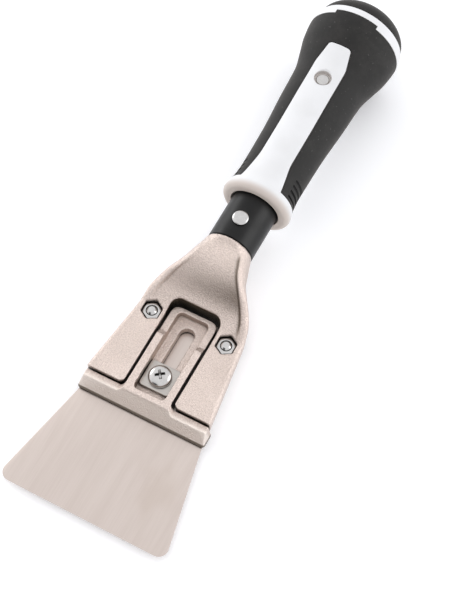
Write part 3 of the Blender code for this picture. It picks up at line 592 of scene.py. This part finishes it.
def rim_foot(distance):
    """Where a side rim rises, as a share of the half width inside the least rim."""
    return mix(0.74, 0.91, ease(distance / DISH))


def curve(stations, distance):
    """Value at a distance, on a curve through the stations that never overshoots them."""
    slopes = [(v1 - v0) / (y1 - y0) for (y0, v0), (y1, v1) in zip(stations, stations[1:])]
    tangents = [0.0]
    for before, after in zip(slopes, slopes[1:]):
        tangents.append(2.0 * before * after / (before + after) if before * after > 0.0 else 0.0)
    tangents.append(slopes[-1])
    distance = min(max(distance, stations[0][0]), stations[-1][0])
    i = 0
    while distance > stations[i + 1][0]:
        i += 1
    (y0, v0), (y1, v1) = stations[i], stations[i + 1]
    span = y1 - y0
    t = (distance - y0) / span
    start = (v0 * (1.0 + 2.0 * t) + tangents[i] * span * t) * (1.0 - t) ** 2
    end = (v1 * (3.0 - 2.0 * t) - tangents[i + 1] * span * (1.0 - t)) * t * t
    return start + end


print("half widths in mm:", [round(head_half_width(d * MM) / MM, 1) for d in (0, 20, 40, 68)])

# %% One section of the cast head
# Distance and height of the dished ramp, in millimetres.
RAMP = [(0.0, 31.4), (0.6, 31.3), (2.6, 30.2), (9.0, 28.5), (12.0, 27.2), (15.0, 25.1), (18.0, 22.3)]
RAMP += [(21.5, 18.4), (23.0, 17.0), (25.0, 15.7), (28.0, 14.1), (31.0, 12.75), (33.0, 12.2), (35.5, 12.0)]


def head_section(distance):
    along = min(distance / DISH, 1.0)
    edge = mix(2.4, 1.6, ease((distance / MM - 20.0) / 12.0)) * MM
    square = ease(along)
    half = head_half_width(distance)
    ramp = curve(RAMP, distance / MM) * MM
    top = ramp + RIM_HEIGHT * math.sin(math.pi * along**0.75)
    low = mix(AXIS - TUBE, UNDERSIDE, ease(distance / (25.0 * MM)))
    flat = half - edge

    def point(angle, x, z):
        round_x = half * math.cos(angle)
        round_z = mix(low, top, 0.5 + 0.5 * math.sin(angle))
        return (mix(round_x, x, square), -distance, mix(round_z, z, square))

    def sunk(x, y, z):
        wall = ease((abs(x) / (half - RIM) - rim_foot(distance)) / 0.03)
        return (x, y, mix(min(ramp, z), z, wall))

    ring = []
    for step in spread(1.0, -1.0, 60):
        across = math.sin(math.pi / 2.0 * step)
        ring.append(sunk(*point(math.radians(90.0 - 48.0 * across), flat * across, top)))
    left = []
    for turn in spread(0.0, 1.0, 8)[1:]:
        angle = math.radians(90.0 * (1.0 + turn))
        x, z = -flat + edge * math.cos(angle), top - edge + edge * math.sin(angle)
        left.append(sunk(*point(math.radians(mix(138.0, 180.0, turn)), x, z)))
    ring += left
    for across in spread(-1.0, 1.0, 24):
        ring.append(point(math.radians(270.0 + 58.0 * across), (half - 0.6 * MM) * across, low))
    return ring + [(-x, y, z) for x, y, z in reversed(left)]


print("a section has", len(head_section(DISH)), "points")

# %% [markdown]
# The window for the support, the rounded arm ends, the hexagon pockets and the bolt holes are cut
# from the loft, as on a mill. Then the casting is remeshed in fine voxels and smoothed, which rounds
# every edge by about half a millimetre.

# %% The cast head
def hexagon(flats):
    radius = flats / math.sqrt(3.0)
    angles = [math.radians(30.0 + 60.0 * i) for i in range(6)]
    return [(radius * math.cos(a), radius * math.sin(a)) for a in angles]


def make_head():
    spigot, spigot_end = 7.9 * MM, 20.0 * MM
    centre = Vector((0.0, 0.0, AXIS))
    joint = [(Vector(at) - centre).normalized() * spigot + centre for at in head_section(0.0)]
    rings = [[at + Vector((0.0, y, 0.0)) for at in joint] for y in (spigot_end, 0.0)]
    rings += [head_section(d) for d in spread(0.0, DISH, 60)]
    rings += [head_section(d) for d in spread(DISH, -ARM_END, 8)[1:]]
    head = skin(rings)
    wide = WINDOW + FAR
    window = [(wide, ARM_END - FAR, 0.0), (wide, ARM_END, 0.0), (WINDOW, ARM_END, 2.2 * MM)]
    window += [(WINDOW, WINDOW_BACK, 4.0 * MM)]
    head = cut(head, slab(window, -FAR, AXIS + FAR))
    ends = [(ARM_WIDTH / 2.0, ARM_END, 1.5 * MM), (wide, -SHOULDER, 0.0), (wide, FAR, 0.0)]
    head = cut(head, slab(ends, -FAR, AXIS + FAR), "INTERSECT")
    for x in (-BOLT_X, BOLT_X):
        head = cut(head, moved(prism(hexagon(NUT_POCKET), NUT_SEAT, FAR), x, BOLT_Y))
        head = cut(head, drill(BOLT_HOLE, -FAR, ARM_TOP, x, BOLT_Y))
    return softened(head, 0.4 * MM, 2)


head = make_head()
print("cast head of", len(head.polygons), "faces")

# %% [markdown]
# Painted shade is put on the head: a dark band across the dish, darker on the right, a dark line
# along the foot of the right rim, and a dark wall behind the window. Every point of the mesh gets a
# number from 0 to 1 for it, which stays in place however the tool is lit or seen.

# %% Painted shade in the dish
BAND_AT, BAND_WIDTH, LINE_INSIDE, SPILL = 18.7, 4.2, 0.9, 0.5  # in millimetres


def bell(t):
    return math.exp(-(t**2))


def paint_dish_shade(mesh):
    """Writes on every point how much painted shade it gets."""
    shade_marks = mesh.attributes.new("dish_shade", "FLOAT", "POINT")
    for point, mark in zip(mesh.vertices, shade_marks.data):
        x, distance = point.co.x, -point.co.y
        if not 2.0 * MM < distance < DISH:
            continue
        open_face = distance < -WINDOW_BACK - 0.7 * MM or point.normal.z > 0.45
        below = curve(RAMP, distance / MM) * MM - point.co.z
        # Painted shadow on the wall behind the window.
        if not open_face and abs(x) < WINDOW + 0.5 * MM and below > 0.3 * MM:
            mark.value = 0.95
            continue
        foot = (head_half_width(distance) - RIM) * rim_foot(distance)
        off = (abs(x) - foot) / MM
        # Painted shade: the band across the dish grows darker towards the right.
        band = 0.62 * bell((distance / MM - BAND_AT) / BAND_WIDTH) * mix(0.1, 1.1, 0.5 + 0.5 * x / foot)
        if off > 0.0:
            band *= bell(off / SPILL)
        # Painted shade: a dark line along the foot of the right rim.
        line = 0.88 * bell(off / (SPILL if off > 0.0 else LINE_INSIDE)) if x > 0.0 else 0.0
        line *= ease((distance / MM - 3.0) / 4.0) * ease((DISH - distance) / (7.0 * MM))
        mark.value = max(line, band)
    return mesh


add_piece("cast_head", paint_dish_shade(head), cast_metal, "cast_metal", "head_casting", sharp=None)

# %% [markdown]
# The support is a casting too: a nose bar that presses on the blade and a tongue that lies in the
# head's window. Three outlines, seen from above, from the side and from the end, meet in one body;
# then the pocket for the washer and the long slot are cut out of it.

# %% The support slide
def make_support():
    front, back = NOSE_FRONT, -0.6 * MM
    lip, bar_top, rim_low, rim_top = 1.0 * MM, 6.6 * MM, 7.2 * MM, 8.7 * MM  # above the blade
    plan = [(NOSE, front, 1.0 * MM), (NOSE, back, 0.8 * MM), (TONGUE, back, 1.5 * MM)]
    plan += [(TONGUE, TONGUE_LENGTH, 3.0 * MM)]
    body = slab(plan, GAP, rim_top)
    slope = front + (rim_top - lip) / math.tan(math.radians(57.0))
    step_start, step_end = 25.55 * MM, 28.05 * MM
    side = [(front - FAR, -FAR), (front - FAR, lip), (front, lip), (slope, rim_top), (slope, FAR)]
    side += [(step_start, FAR), (step_start, rim_top), (step_end, rim_low)]
    side += [(TONGUE_LENGTH + FAR, rim_low), (TONGUE_LENGTH + FAR, -FAR)]
    body = cut(body, prism(side, -FAR, FAR, "X"), "INTERSECT")
    end = [(NOSE + FAR, -FAR), (NOSE + FAR, lip), (NOSE, lip), (NOSE - 1.3 * MM, bar_top)]
    end += [(TONGUE + 2.2 * MM, bar_top), (TONGUE, rim_top), (TONGUE, FAR)]
    body = cut(body, prism(both_sides(end), front - FAR, TONGUE_LENGTH + FAR, "Y"), "INTERSECT")
    pocket = [(POCKET, 0.0, 2.0 * MM), (POCKET, TONGUE_LENGTH - 1.8 * MM, 2.0 * MM)]
    body = cut(body, slab(pocket, POCKET_FLOOR - BLADE_TOP, FAR))
    slot = 3.25 * MM
    ends = [(slot, 8.9 * MM - slot, 0.98 * slot), (slot, 34.8 * MM, 0.98 * slot)]
    body = cut(body, slab(ends, -FAR, FAR, 16))
    return moved(softened(body, 0.3 * MM, 9), 0.0, ARM_END, BLADE_TOP)


support = make_support()
add_piece("blade_support", support, cast_metal, "cast_metal", "support_slide", body="support", sharp=None)

# %% [markdown]
# The blade is a flat sheet that widens towards the edge, with rounded corners and the finest of
# bevels along its rim, as shears and a tumbler leave it. The cutting edge is ground thin.

# %% The blade
def make_blade():
    tail_end, land, grind = -29.1 * MM, BLADE_TOP - 0.3 * MM, EDGE + 2.0 * MM
    arm, tail = ARM_WIDTH / 2.0, head_half_width(-tail_end) - 0.9 * MM
    outline = [(BLADE_WIDTH / 2.0, EDGE, 4.0 * MM), (arm, EDGE + FLARE, 0.0)]
    outline += [(arm - 0.9 * MM, ARM_END, 0.0), (tail, tail_end, 2.0 * MM)]
    sheet = bevelled(slab(outline, BLADE_LOW, BLADE_TOP), 0.12 * MM, 2)
    ground = [(EDGE, land), (grind, BLADE_LOW), (grind, -FAR), (EDGE - FAR, -FAR), (EDGE - FAR, land)]
    sheet = cut(sheet, prism(ground, -FAR - NOSE, FAR + NOSE, "X"))
    sheet = cut(sheet, drill(BUSH_HOLE, -FAR, FAR, 0.0, SCREW_Y))
    for x in (-BOLT_X, BOLT_X):
        sheet = cut(sheet, drill(BOLT_HOLE, -FAR, FAR, x, BOLT_Y))
    return sheet


add_piece("scraper_blade", make_blade(), blade_steel, "blade_steel", "blade", sharp=25.0)

# %% [markdown]
# The clamp is a pan-head screw with a cross recess, on a flat washer in the pocket of the support.
# The recess tapers, so its cutter is two crossed wedges. The washer lifts with the screw, but only
# the screw turns, so they ride on two bodies.

# %% The clamp screw
def cross_recess(top, turn):
    """Two crossed wedges, sunk from a height and turned about Z."""
    wedges = []
    for angle in (turn, turn + 90.0):
        rows = []
        for along, across, z in ((0.92, 0.24, -2.2), (2.3, 0.6, 0.0), (2.3, 0.6, 1.0)):
            corners = [(-along, -across), (along, -across), (along, across), (-along, across)]
            rows.append([(x * MM, y * MM, top + z * MM) for x, y in corners])
        wedge = skin(rows)
        wedge.transform(Matrix.Rotation(math.radians(angle), 4, "Z"))
        wedges.append(wedge)
    return cut(wedges[0], wedges[1], "UNION")


def crown(radius, seat, high, foot, steps, first=0.0):
    """Profile of a dome that starts at a share of its height above a seat."""
    turns = spread(first, math.pi / 2.0, steps)
    return [(radius * math.cos(t), seat + mix(foot, 1.0, math.sin(t)) * high) for t in turns]


def make_screw():
    seat, high, head = 9.1 * MM, 3.2 * MM, 4.85 * MM
    stem = [(SCREW - 0.4 * MM, 0.6 * MM), (SCREW, MM), (SCREW, seat)]
    stem += [(head - 0.25 * MM, seat), (head, seat + 0.2 * MM)]
    screw = cut(turned(stem + crown(head, seat, high, 0.3, 24), steps=96), cross_recess(seat + high, 37.0))
    return moved(screw, 0.0, SCREW_Y)


add_piece("pan_head_screw", make_screw(), bright_metal, "bright_fixings", "clamp_screw", body="screw")

# %% The washer plate
def make_washer():
    half, reach, corner = 6.7 * MM, 6.0 * MM, 1.5 * MM
    outline = [(half, -reach, corner), (half, reach, corner)]
    plate = bevelled(slab(outline, 7.6 * MM, 8.8 * MM), 0.2 * MM)
    return moved(cut(plate, drill(2.8 * MM, 0.0, FAR)), 0.0, SCREW_Y)


add_piece("washer_plate", make_washer(), plate_steel, "plate_steel", "clamp_washer", body="washer")

# %% [markdown]
# Two nuts and two bolts hold the blade. They repeat, so Geometry Nodes make one and set it on both
# places. A nut is a six-sided prism that a blunt cone trims, which leaves the curved chamfer of real
# nuts, with a countersunk bore. A bolt is a rod with a blunt tip and a thread wound round it as a
# spiral. Sizes are named inputs, so other nuts need only new numbers.

# %% Starting a node recipe
def start_recipe(name, **sizes):
    """A geometry tree with named number inputs, a material input and one geometry output."""
    tree = bpy.data.node_groups.new(name, "GeometryNodeTree")
    tree.interface.new_socket("Geometry", in_out="OUTPUT", socket_type="NodeSocketGeometry")
    for label in sizes:
        tree.interface.new_socket(label, in_out="INPUT", socket_type="NodeSocketFloat")
    tree.interface.new_socket("Finish", in_out="INPUT", socket_type="NodeSocketMaterial")
    source = tree.nodes.new("NodeGroupInput")
    return Wire(tree), {socket.name: Wire(tree, socket) for socket in source.outputs if socket.name}


def cook(shape, given, finish, **sizes):
    """Ends a recipe with its shape, and gives the plain mesh that it makes with these sizes."""
    tree = shape.tree
    real = shape.node("GeometryNodeRealizeInstances", {}, {"Geometry": shape})
    coated = shape.node("GeometryNodeSetMaterial", {}, {"Geometry": real, "Material": given["Finish"]})
    output = tree.nodes.new("NodeGroupOutput")
    tree.links.new(coated.socket, output.inputs[0])
    blank = in_scene("blank", bpy.data.meshes.new("blank"))
    modifier = blank.modifiers.new(tree.name, "NODES")
    modifier.node_group = tree
    for item in tree.interface.items_tree:
        if item.in_out == "INPUT":
            modifier[item.identifier] = finish if item.name == "Finish" else sizes[item.name]
    mesh = kept(blank)
    print(tree.name, "made", len(mesh.polygons), "faces")
    return mesh


print("a recipe is started, then cooked")

# %% Shapes inside a recipe
def rod(sides, radius, length):
    sizes = {"Vertices": sides, "Radius": radius, "Depth": length}
    return radius.node("GeometryNodeMeshCylinder", {}, sizes)


def cone(sides, bottom, top, length):
    sizes = {"Vertices": sides, "Radius Bottom": bottom, "Radius Top": top, "Depth": length}
    return bottom.node("GeometryNodeMeshCone", {}, sizes)


def wound(path, radius, sides):
    """A bar along a path."""
    ring = path.node("GeometryNodeCurvePrimitiveCircle", {}, {"Resolution": sides, "Radius": radius})
    ends = {"Curve": path, "Profile Curve": ring, "Fill Caps": True}
    return path.node("GeometryNodeCurveToMesh", {}, ends)


print("a recipe has rods, cones and wound bars")

# %% Joining and placing in a recipe
def gathered(kind, shapes, settings=None):
    """One node fed by several shapes, each paired with its socket's name."""
    result = shapes[0][1].node(kind, settings)
    for name, shape in shapes:
        shape.tree.links.new(shape.socket, result.socket.node.inputs[name])
    return result


def joined(*shapes):
    return gathered("GeometryNodeJoinGeometry", [("Geometry", shape) for shape in shapes])


def boolean(operation, shapes):
    settings = {"operation": operation, "solver": "EXACT"}
    return gathered("GeometryNodeMeshBoolean", shapes, settings)


def at_height(shape, z):
    lift = shape.node("ShaderNodeCombineXYZ", {}, {"Z": z})
    return shape.node("GeometryNodeTransform", {}, {"Geometry": shape, "Translation": lift})


def in_a_row(shape, count, first, step):
    """Instances of a shape, from a first place on and one step apart."""
    first, step = [shape.node("ShaderNodeCombineXYZ", {}, place) for place in (first, step)]
    row = {"Count": count, "Start Location": first, "Offset": step}
    line = shape.node("GeometryNodeMeshLine", {}, row)
    return shape.node("GeometryNodeInstanceOnPoints", {}, {"Points": line, "Instance": shape})


def on_both_places(shape, given):
    x, y = given["Across"], given["Along"]
    return in_a_row(shape, 2, {"X": 0.0 - x, "Y": y}, {"X": x * 2.0})


BOLT_PLACE = {"Across": BOLT_X, "Along": BOLT_Y}
print("bolts at", BOLT_PLACE)

# %% Sweeping up after the cuts
SLIVER = 0.002 * MM  # edges shorter than this go


def swept(mesh):
    """The mesh without the slivers that cutting leaves along straight edges."""
    work = bmesh.new()
    work.from_mesh(mesh)
    bmesh.ops.dissolve_degenerate(work, dist=SLIVER, edges=work.edges)
    bmesh.ops.triangulate(work, faces=[face for face in work.faces if len(face.verts) > 4])
    bmesh.ops.dissolve_degenerate(work, dist=SLIVER, edges=work.edges)
    work.to_mesh(mesh)
    work.free()
    return mesh


print("slivers under", SLIVER / MM, "mm are swept up")

# %% The nuts
sizes = {"Flats": 6.8 * MM, "Height": 4.1 * MM, "Seat": 7.0 * MM, "Bore": 2.05 * MM, **BOLT_PLACE}
start, given = start_recipe("blade_nut_recipe", **sizes)
flats, high, bore = given["Flats"], given["Height"], given["Bore"]
turn = {"Geometry": rod(6, flats * 0.57735, high), "Rotation": (0.0, 0.0, math.radians(30.0))}
hexes = start.node("GeometryNodeTransform", {}, turn)
trim = at_height(cone(64, flats * 1.8, flats * 0.43, high * 1.2), high * -0.68)
blunt = boolean("INTERSECT", [("Mesh 2", hexes), ("Mesh 2", trim)])
hole = rod(40, bore, high * 3.0)
sink = at_height(cone(40, bore * 0.95, bore * 1.26, high * 0.15), high * 0.366)
bored = boolean("DIFFERENCE", [("Mesh 1", blunt), ("Mesh 2", hole), ("Mesh 2", sink)])
nut = at_height(bored, given["Seat"] + high * 0.5)
nuts = swept(cook(on_both_places(nut, given), given, bright_metal, **sizes))
add_piece("blade_nuts", nuts, bright_metal, "bright_fixings", "blade_nut_left", "blade_nut_right")

# %% The bolts
TURNS = 8.0
sizes = {"Radius": 2.0 * MM, "Low": 0.2 * MM, "High": 11.8 * MM, "Pitch": 0.7 * MM, "Tip": 0.6 * MM}
sizes.update(BOLT_PLACE)
start, given = start_recipe("blade_bolt_recipe", **sizes)
radius, low, high, tip = [given[name] for name in ("Radius", "Low", "High", "Tip")]
length = high - low - tip * 0.8
core = radius * 0.86
stem = at_height(rod(48, core, length), low + length * 0.5)
sunk = at_height(cone(48, radius * 1.9, radius * 0.9, radius), low)
blunt = at_height(cone(48, radius * 1.06, radius * 0.72, tip), high - tip)
spiral = {"Resolution": 40, "Rotations": TURNS, "Start Radius": core, "End Radius": core}
spiral = start.node("GeometryNodeCurveSpiral", {}, {**spiral, "Height": given["Pitch"] * TURNS})
thread = wound(spiral, radius * 0.14, 4)
thread = at_height(thread, high - tip - given["Pitch"] * (TURNS + 0.3))
bolt = joined(stem, sunk, thread, blunt)
bolts = cook(on_both_places(bolt, given), given, bright_metal, **sizes)
add_piece("blade_bolts", bolts, bright_metal, "bright_fixings", "blade_bolt_left", "blade_bolt_right")

# %% [markdown]
# Under the blade lies a stamped plate with countersunk holes for the bolts and a seat for the
# threaded bush of the clamp screw. It closes the window from below, and most of it only shows when
# the tool is turned over.

# %% The back plate and the bush
def make_back_plate():
    front, back, inset = ARM_END - 5.6 * MM, -23.5 * MM, 1.5 * MM
    shoulder, mouth, seat = -33.0 * MM, 4.1 * MM, 6.6 * MM
    outline = [(ARM_WIDTH / 2.0 - inset, front, 3.0 * MM)]
    outline += [(head_half_width(-shoulder) - inset, shoulder, 3.0 * MM), (13.0 * MM, back, 3.0 * MM)]
    plate = bevelled(slab(outline, 0.0, 2.4 * MM), 0.3 * MM)
    sink = [(mouth, -FAR), (mouth, 0.4 * MM), (BOLT_HOLE, 2.2 * MM), (BOLT_HOLE, FAR)]
    for x in (-BOLT_X, BOLT_X):
        plate = cut(plate, moved(turned(sink, steps=48), x, BOLT_Y))
    step = [(seat, -FAR), (seat, 1.5 * MM), (BUSH_HOLE, 1.5 * MM), (BUSH_HOLE, FAR)]
    return cut(plate, moved(turned(step), 0.0, SCREW_Y))


def make_bush():
    profile = [(2.8, 0.2), (5.9, 0.2), (6.3, 0.5), (6.3, 1.2), (4.4, 1.2), (4.4, 3.5), (2.8, 3.5)]
    return moved(turned([(r * MM, z * MM) for r, z in profile], closed=True), 0.0, SCREW_Y)


add_piece("back_cover", make_back_plate(), plate_steel, "plate_steel", "back_plate")
add_piece("threaded_bush", make_bush(), bright_metal, "bright_fixings", "clamp_bush")

# %% [markdown]
# The neck is a plain tube. It is made as on a lathe, like everything round: a profile of radius and
# distance, swung once round. Its ends get small chamfers. The rivet goes right through, with the
# same low crown on both sides.

# %% The tube and its rivet
def make_tube():
    end, bore, chamfer = 92.0 * MM, TUBE - 2.0 * MM, 0.35 * MM
    profile = [(TUBE - chamfer, GAP), (TUBE, GAP + chamfer), (TUBE, end - chamfer)]
    profile += [(TUBE - chamfer, end), (bore, end), (bore, GAP)]
    return moved(turned(profile, "Y", 128, closed=True), z=AXIS)


def both_ends(half):
    """A turned profile and its mirror image, for a piece with two equal ends."""
    return [(radius, -along) for radius, along in reversed(half[1:])] + half


def make_rivet():
    seat, shaft, head, high = TUBE + GAP, 2.2 * MM, 3.35 * MM, 1.3 * MM
    upper = [(shaft, 0.0), (shaft, seat), (head - 0.15 * MM, seat), (head, seat + 0.15 * MM)]
    upper += crown(head, seat, high, 0.25, 16)
    return moved(turned(both_ends(upper)), 0.0, 9.75 * MM, AXIS)


add_piece("neck_pipe", make_tube(), black_coat, "black_tube", "neck_tube")
add_piece("cross_rivet", make_rivet(), bright_metal, "bright_fixings", "neck_rivet")

# %% [markdown]
# The handle swells from a slim waist to a round bulb. Its outside is a curve through a few measured
# radii that never overshoots them, so the waist and the bulb stay where they were measured.

# %% Outside of the handle
# Distance along the handle and thickness over the tube, in millimetres.
WALLS = [(2.5, 5.3), (8.0, 4.1), (14.0, 3.7), (32.0, 4.0), (53.0, 5.3), (68.0, 6.1), (78.0, 8.4)]
WALLS += [(85.0, 10.2), (93.0, 11.0), (97.3, 10.4)]
STATIONS = [(y * MM, TUBE + wall * MM) for y, wall in WALLS]


def handle_radius(distance):
    return curve(STATIONS, distance)


print("handle radii in mm:", [round(handle_radius(d * MM) / MM, 1) for d in (5, 30, 60, 93)])

# %% [markdown]
# The sleeve covers the handle except for a spine above and below, a flange in front and a ring
# behind. The core leaves the same shape free, a little larger, so a fine seam stays between them.

# %% Shape of the sleeve
def sleeve_shape(grow, outside):
    """The sleeve, or with a growth the space that the core leaves for it."""
    front, back, wall = 5.6 * MM - grow, SLEEVE_END + grow, 1.7 * MM + grow
    outer = [(handle_radius(y) + outside, y) for y in spread(front, back, 90)]
    inner = [(handle_radius(y) - wall, y) for y in spread(back, front, 30)]
    shape = turned(outer + inner, "Y", 160, closed=True)
    extra = GAP - grow
    spine = [(9.5 * MM + extra, 2.6 * MM, 0.0), (6.9 * MM + extra, 18.0 * MM, 30.0 * MM)]
    spine += [(6.9 * MM + extra, 69.0 * MM, 12.0 * MM), (4.9 * MM + extra, 78.0 * MM + extra, 1.4 * MM)]
    shape = cut(shape, slab(spine, -FAR, FAR))
    notch_x, notch_y = 9.3 * MM + grow, 92.0 * MM + grow
    for side in (-1.0, 1.0):
        low, high = sorted((side * notch_x, side * FAR))
        corners = [(low, notch_y), (high, notch_y), (high, RING_END), (low, RING_END)]
        shape = cut(shape, prism(corners, -FAR, FAR))
    return shape


print("seam of", GAP / MM, "mm between sleeve and core")

# %% The white core
def make_core():
    flange, nose, bore = TUBE + 5.3 * MM, 2.5 * MM, 10.5 * MM
    outside = []
    for turn in spread(math.pi / 2.0, 0.0, 14):
        r = flange - nose * (1.0 - math.cos(turn))
        outside.append((r, nose * (1.0 - math.sin(turn))))
    outside += [(handle_radius(y), y) for y in spread(nose, RING_END, 110)[1:]]
    core = cut(turned(outside, "Y", 160), sleeve_shape(GAP, 3.0 * MM))
    mouth = [(bore + 0.55 * MM, -FAR), (bore + 0.55 * MM, 3.0 * MM), (bore, 3.85 * MM), (bore, 70.3 * MM)]
    core = cut(core, turned(mouth, "Y", 128))
    core = cut(core, turned([(12.3 * MM, 87.0 * MM), (12.3 * MM, FAR + RING_END)], "Y", 128))
    floor, lip = handle_radius(PIN) - PIN_WELL, handle_radius(PIN) - 0.35 * MM
    hole, well, mouth = 2.3 * MM, 3.75 * MM, 4.3 * MM
    profile = [(hole, 0.0), (hole, floor), (well, floor), (well, lip), (mouth, lip + 0.5 * MM), (mouth, FAR)]
    for flip in (0.0, math.pi):
        sunk = turned(profile)
        sunk.transform(Matrix.Rotation(flip, 4, "Y"))
        core = cut(core, moved(sunk, y=PIN))
    return swept(moved(core, 0.0, HANDLE, AXIS))


add_piece("handle_white_core", make_core(), white_plastic, "white_plastic", "handle_core")

# %% [markdown]
# Near the front the sleeve has short finger grooves on each side. They repeat along the handle, so
# Geometry Nodes lay arcs round the axis, thicken them to bars that taper at their upper ends, and hand
# the bars over as the cutter of the sleeve.

# %% The grip grooves
sizes = {"Radius": 13.95 * MM, "Width": 1.35 * MM, "First": 7.4 * MM, "Step": 2.6 * MM}
start, given = start_recipe("grip_groove_recipe", **sizes)
bars = []
for begin, upwards in ((-8.0, True), (144.0, False)):
    arc = {"Resolution": 24, "Radius": given["Radius"], "Sweep Angle": math.radians(44.0)}
    arc = start.node("GeometryNodeCurveArc", {}, {**arc, "Start Angle": math.radians(begin)})
    along = start.node("GeometryNodeSplineParameter")
    away = 1.0 - along if upwards else along
    slim = away.between(0.0, 0.2, 0.45, 1.0)
    arc = start.node("GeometryNodeSetCurveRadius", {}, {"Curve": arc, "Radius": slim})
    bars.append(wound(arc, given["Width"] * 0.5, 12))
turn = {"Geometry": joined(*bars), "Rotation": (math.radians(90.0), 0.0, 0.0)}
upright = start.node("GeometryNodeTransform", {}, turn)
rows = in_a_row(upright, 4, {"Y": given["First"]}, {"Y": given["Step"]})
grooves = cook(rows, given, charcoal_rubber, **sizes)

# %% The sleeve
sleeve = moved(cut(sleeve_shape(0.0, 0.0), grooves), 0.0, HANDLE, AXIS)
add_piece("rubber_sleeve", sleeve, charcoal_rubber, "black_rubber", "grip_sleeve")

# %% [markdown]
# A steel pin goes right through handle and tube, with its ends hammered flat in two wells of the
# core. A domed cap with a plug closes the butt. Both are round, so both are turned.

# %% The pin and the end cap
def make_pin():
    shaft, head, floor = 2.25 * MM, 2.8 * MM, handle_radius(PIN) - PIN_WELL + 0.05 * MM
    top, edge = floor + 0.7 * MM, 0.3 * MM
    upper = [(shaft, 0.0), (shaft, floor), (head, floor), (head, top - edge)]
    upper += [(head - edge, top - 0.05 * MM), (head - 3.0 * edge, top)]
    return moved(turned(both_ends(upper), steps=48), 0.0, HANDLE + PIN, AXIS)


def make_cap():
    seat, radius, deep = RING_END + GAP, 20.0 * MM, 12.7 * MM
    plug, plug_end = 12.0 * MM, RING_END - 10.0 * MM
    profile = [(plug - 0.5 * MM, plug_end), (plug, plug_end + 0.5 * MM), (plug, seat)]
    profile += [(radius - 0.5 * MM, seat), (radius - 0.1 * MM, seat + 0.15 * MM)]
    profile += crown(radius, seat, deep, 0.0, 48, 0.04)
    return moved(turned(profile, "Y", 160), 0.0, HANDLE, AXIS)


add_piece("cross_pin", make_pin(), bright_metal, "bright_fixings", "handle_pin")
add_piece("domed_end_cap", make_cap(), charcoal_rubber, "black_rubber", "end_cap")

# %% [markdown]
# The tool lies on a white table in a bright studio. The table is one large slab with a faint paper
# grain. It glows a little, for the light that a white studio throws back on it from all sides.

# %% The table
paper, place, feed = start_finish("white_table")
fibre = grain(place, 600.0, 3.0)
feed(Base_Color=blend(fibre, (0.94, 0.945, 0.955), (0.96, 0.965, 0.975)), Roughness=0.8)
feed(Specular_IOR_Level=0.1, Emission_Color=(1.0, 1.0, 1.02, 1.0), Emission_Strength=0.175)
SIDE, THICK, BELOW = 2.0, 0.02, 0.0002
outline = [(-SIDE, 0.0), (SIDE, 0.0), (SIDE, -THICK), (-SIDE, -THICK)]
table_mesh = prism(outline, -SIDE, SIDE, "Y")
table_mesh.materials.append(paper)
table = in_scene("table", moved(table_mesh, z=-BELOW))
table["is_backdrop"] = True
print("table of", len(table_mesh.polygons), "faces")

# %% [markdown]
# Bright metal shows what is around it. The world is a soft white room, darker in front, on the side
# of the camera: that one dark place is what shades the slope of the head.

# %% The room
world = bpy.data.worlds.new("room")
world.use_nodes = True
bpy.context.scene.world = world
direction = Wire(world.node_tree).node("ShaderNodeTexCoord", output="Generated")
ahead = Vector((-0.22, -0.91, 0.36)).normalized()
both = {0: direction, 1: ahead}
facing = direction.node("ShaderNodeVectorMath", {"operation": "DOT_PRODUCT"}, both, "Value")
height = direction.axis("Z")
shade = facing.between(0.87, 0.982) * height.between(0.06, 0.22)
sky = blend(shade, (1.0, 1.0, 1.02), (0.01, 0.01, 0.01))
background = world.node_tree.nodes["Background"]
world.node_tree.links.new(sky.socket, background.inputs["Color"])
background.inputs["Strength"].default_value = 1.12
print("room set, darker towards", tuple(round(x, 2) for x in ahead))

# %% [markdown]
# Three large round lamps finish the light. Two on the left throw the soft shadow and brighten the
# left flanks. The one on the right is kept out of diffuse light, so it is only seen as a reflection:
# it draws bright lines and throws no shadow.

# %% The lamps
def add_lamp(name, at, target, size, power, colour=(1.0, 1.0, 1.0)):
    data = bpy.data.lights.new(name, "AREA")
    data.shape = "DISK"
    data.size = size
    data.energy = power
    data.color = colour
    lamp = in_scene(name, data)
    lamp.location = at
    lamp.rotation_euler = (Vector(target) - Vector(at)).to_track_quat("-Z", "Y").to_euler()
    return lamp


key = add_lamp("key_lamp", (-1.1, -0.15, 0.5), (0.0, -0.02, 0.0), 1.0, 0.4, (1.0, 0.99, 0.98))
right = add_lamp("right_strip", (0.95, 0.5, 0.45), (0.0, 0.03, 0.02), 0.9, 4.0)
right.visible_diffuse = False
left = add_lamp("left_strip", (-1.0, 0.30, 0.33), (0.0, 0.0, 0.02), 0.6, 2.4)
print("lamps at", [tuple(round(x, 2) for x in lamp.location) for lamp in (key, right, left)])

# %% [markdown]
# The camera stands in front of the blade and to its right, looking down at sixty-two degrees, with a
# long lens. Its place was found by matching the CAD model's edges to those in the picture.
# Colours are shown as they are, without a film curve.

# %% The camera
camera_data = bpy.data.cameras.new("camera")
camera_data.lens = 98.22
camera_data.sensor_width = 36.0
camera = in_scene("camera", camera_data)
camera.location = (0.15167, -0.28916, 0.59301)
aim = Vector((0.01034, -0.02358, 0.0212)) - camera.location
camera.rotation_euler = aim.to_track_quat("-Z", "Y").to_euler()
bpy.context.scene.camera = camera
bpy.context.scene.view_settings.view_transform = "Standard"
print("camera is", round(aim.length, 3), "m from the tool")

# %% [markdown]
# Last, the made pieces are compared with the CAD model's box.

# %% Sizes and finish
made_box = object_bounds()
differences = [(b - a) / MM for c, m in zip(cad_box, made_box) for a, b in zip(c, m)]
print("box differs by", [round(difference, 2) for difference in differences], "mm")
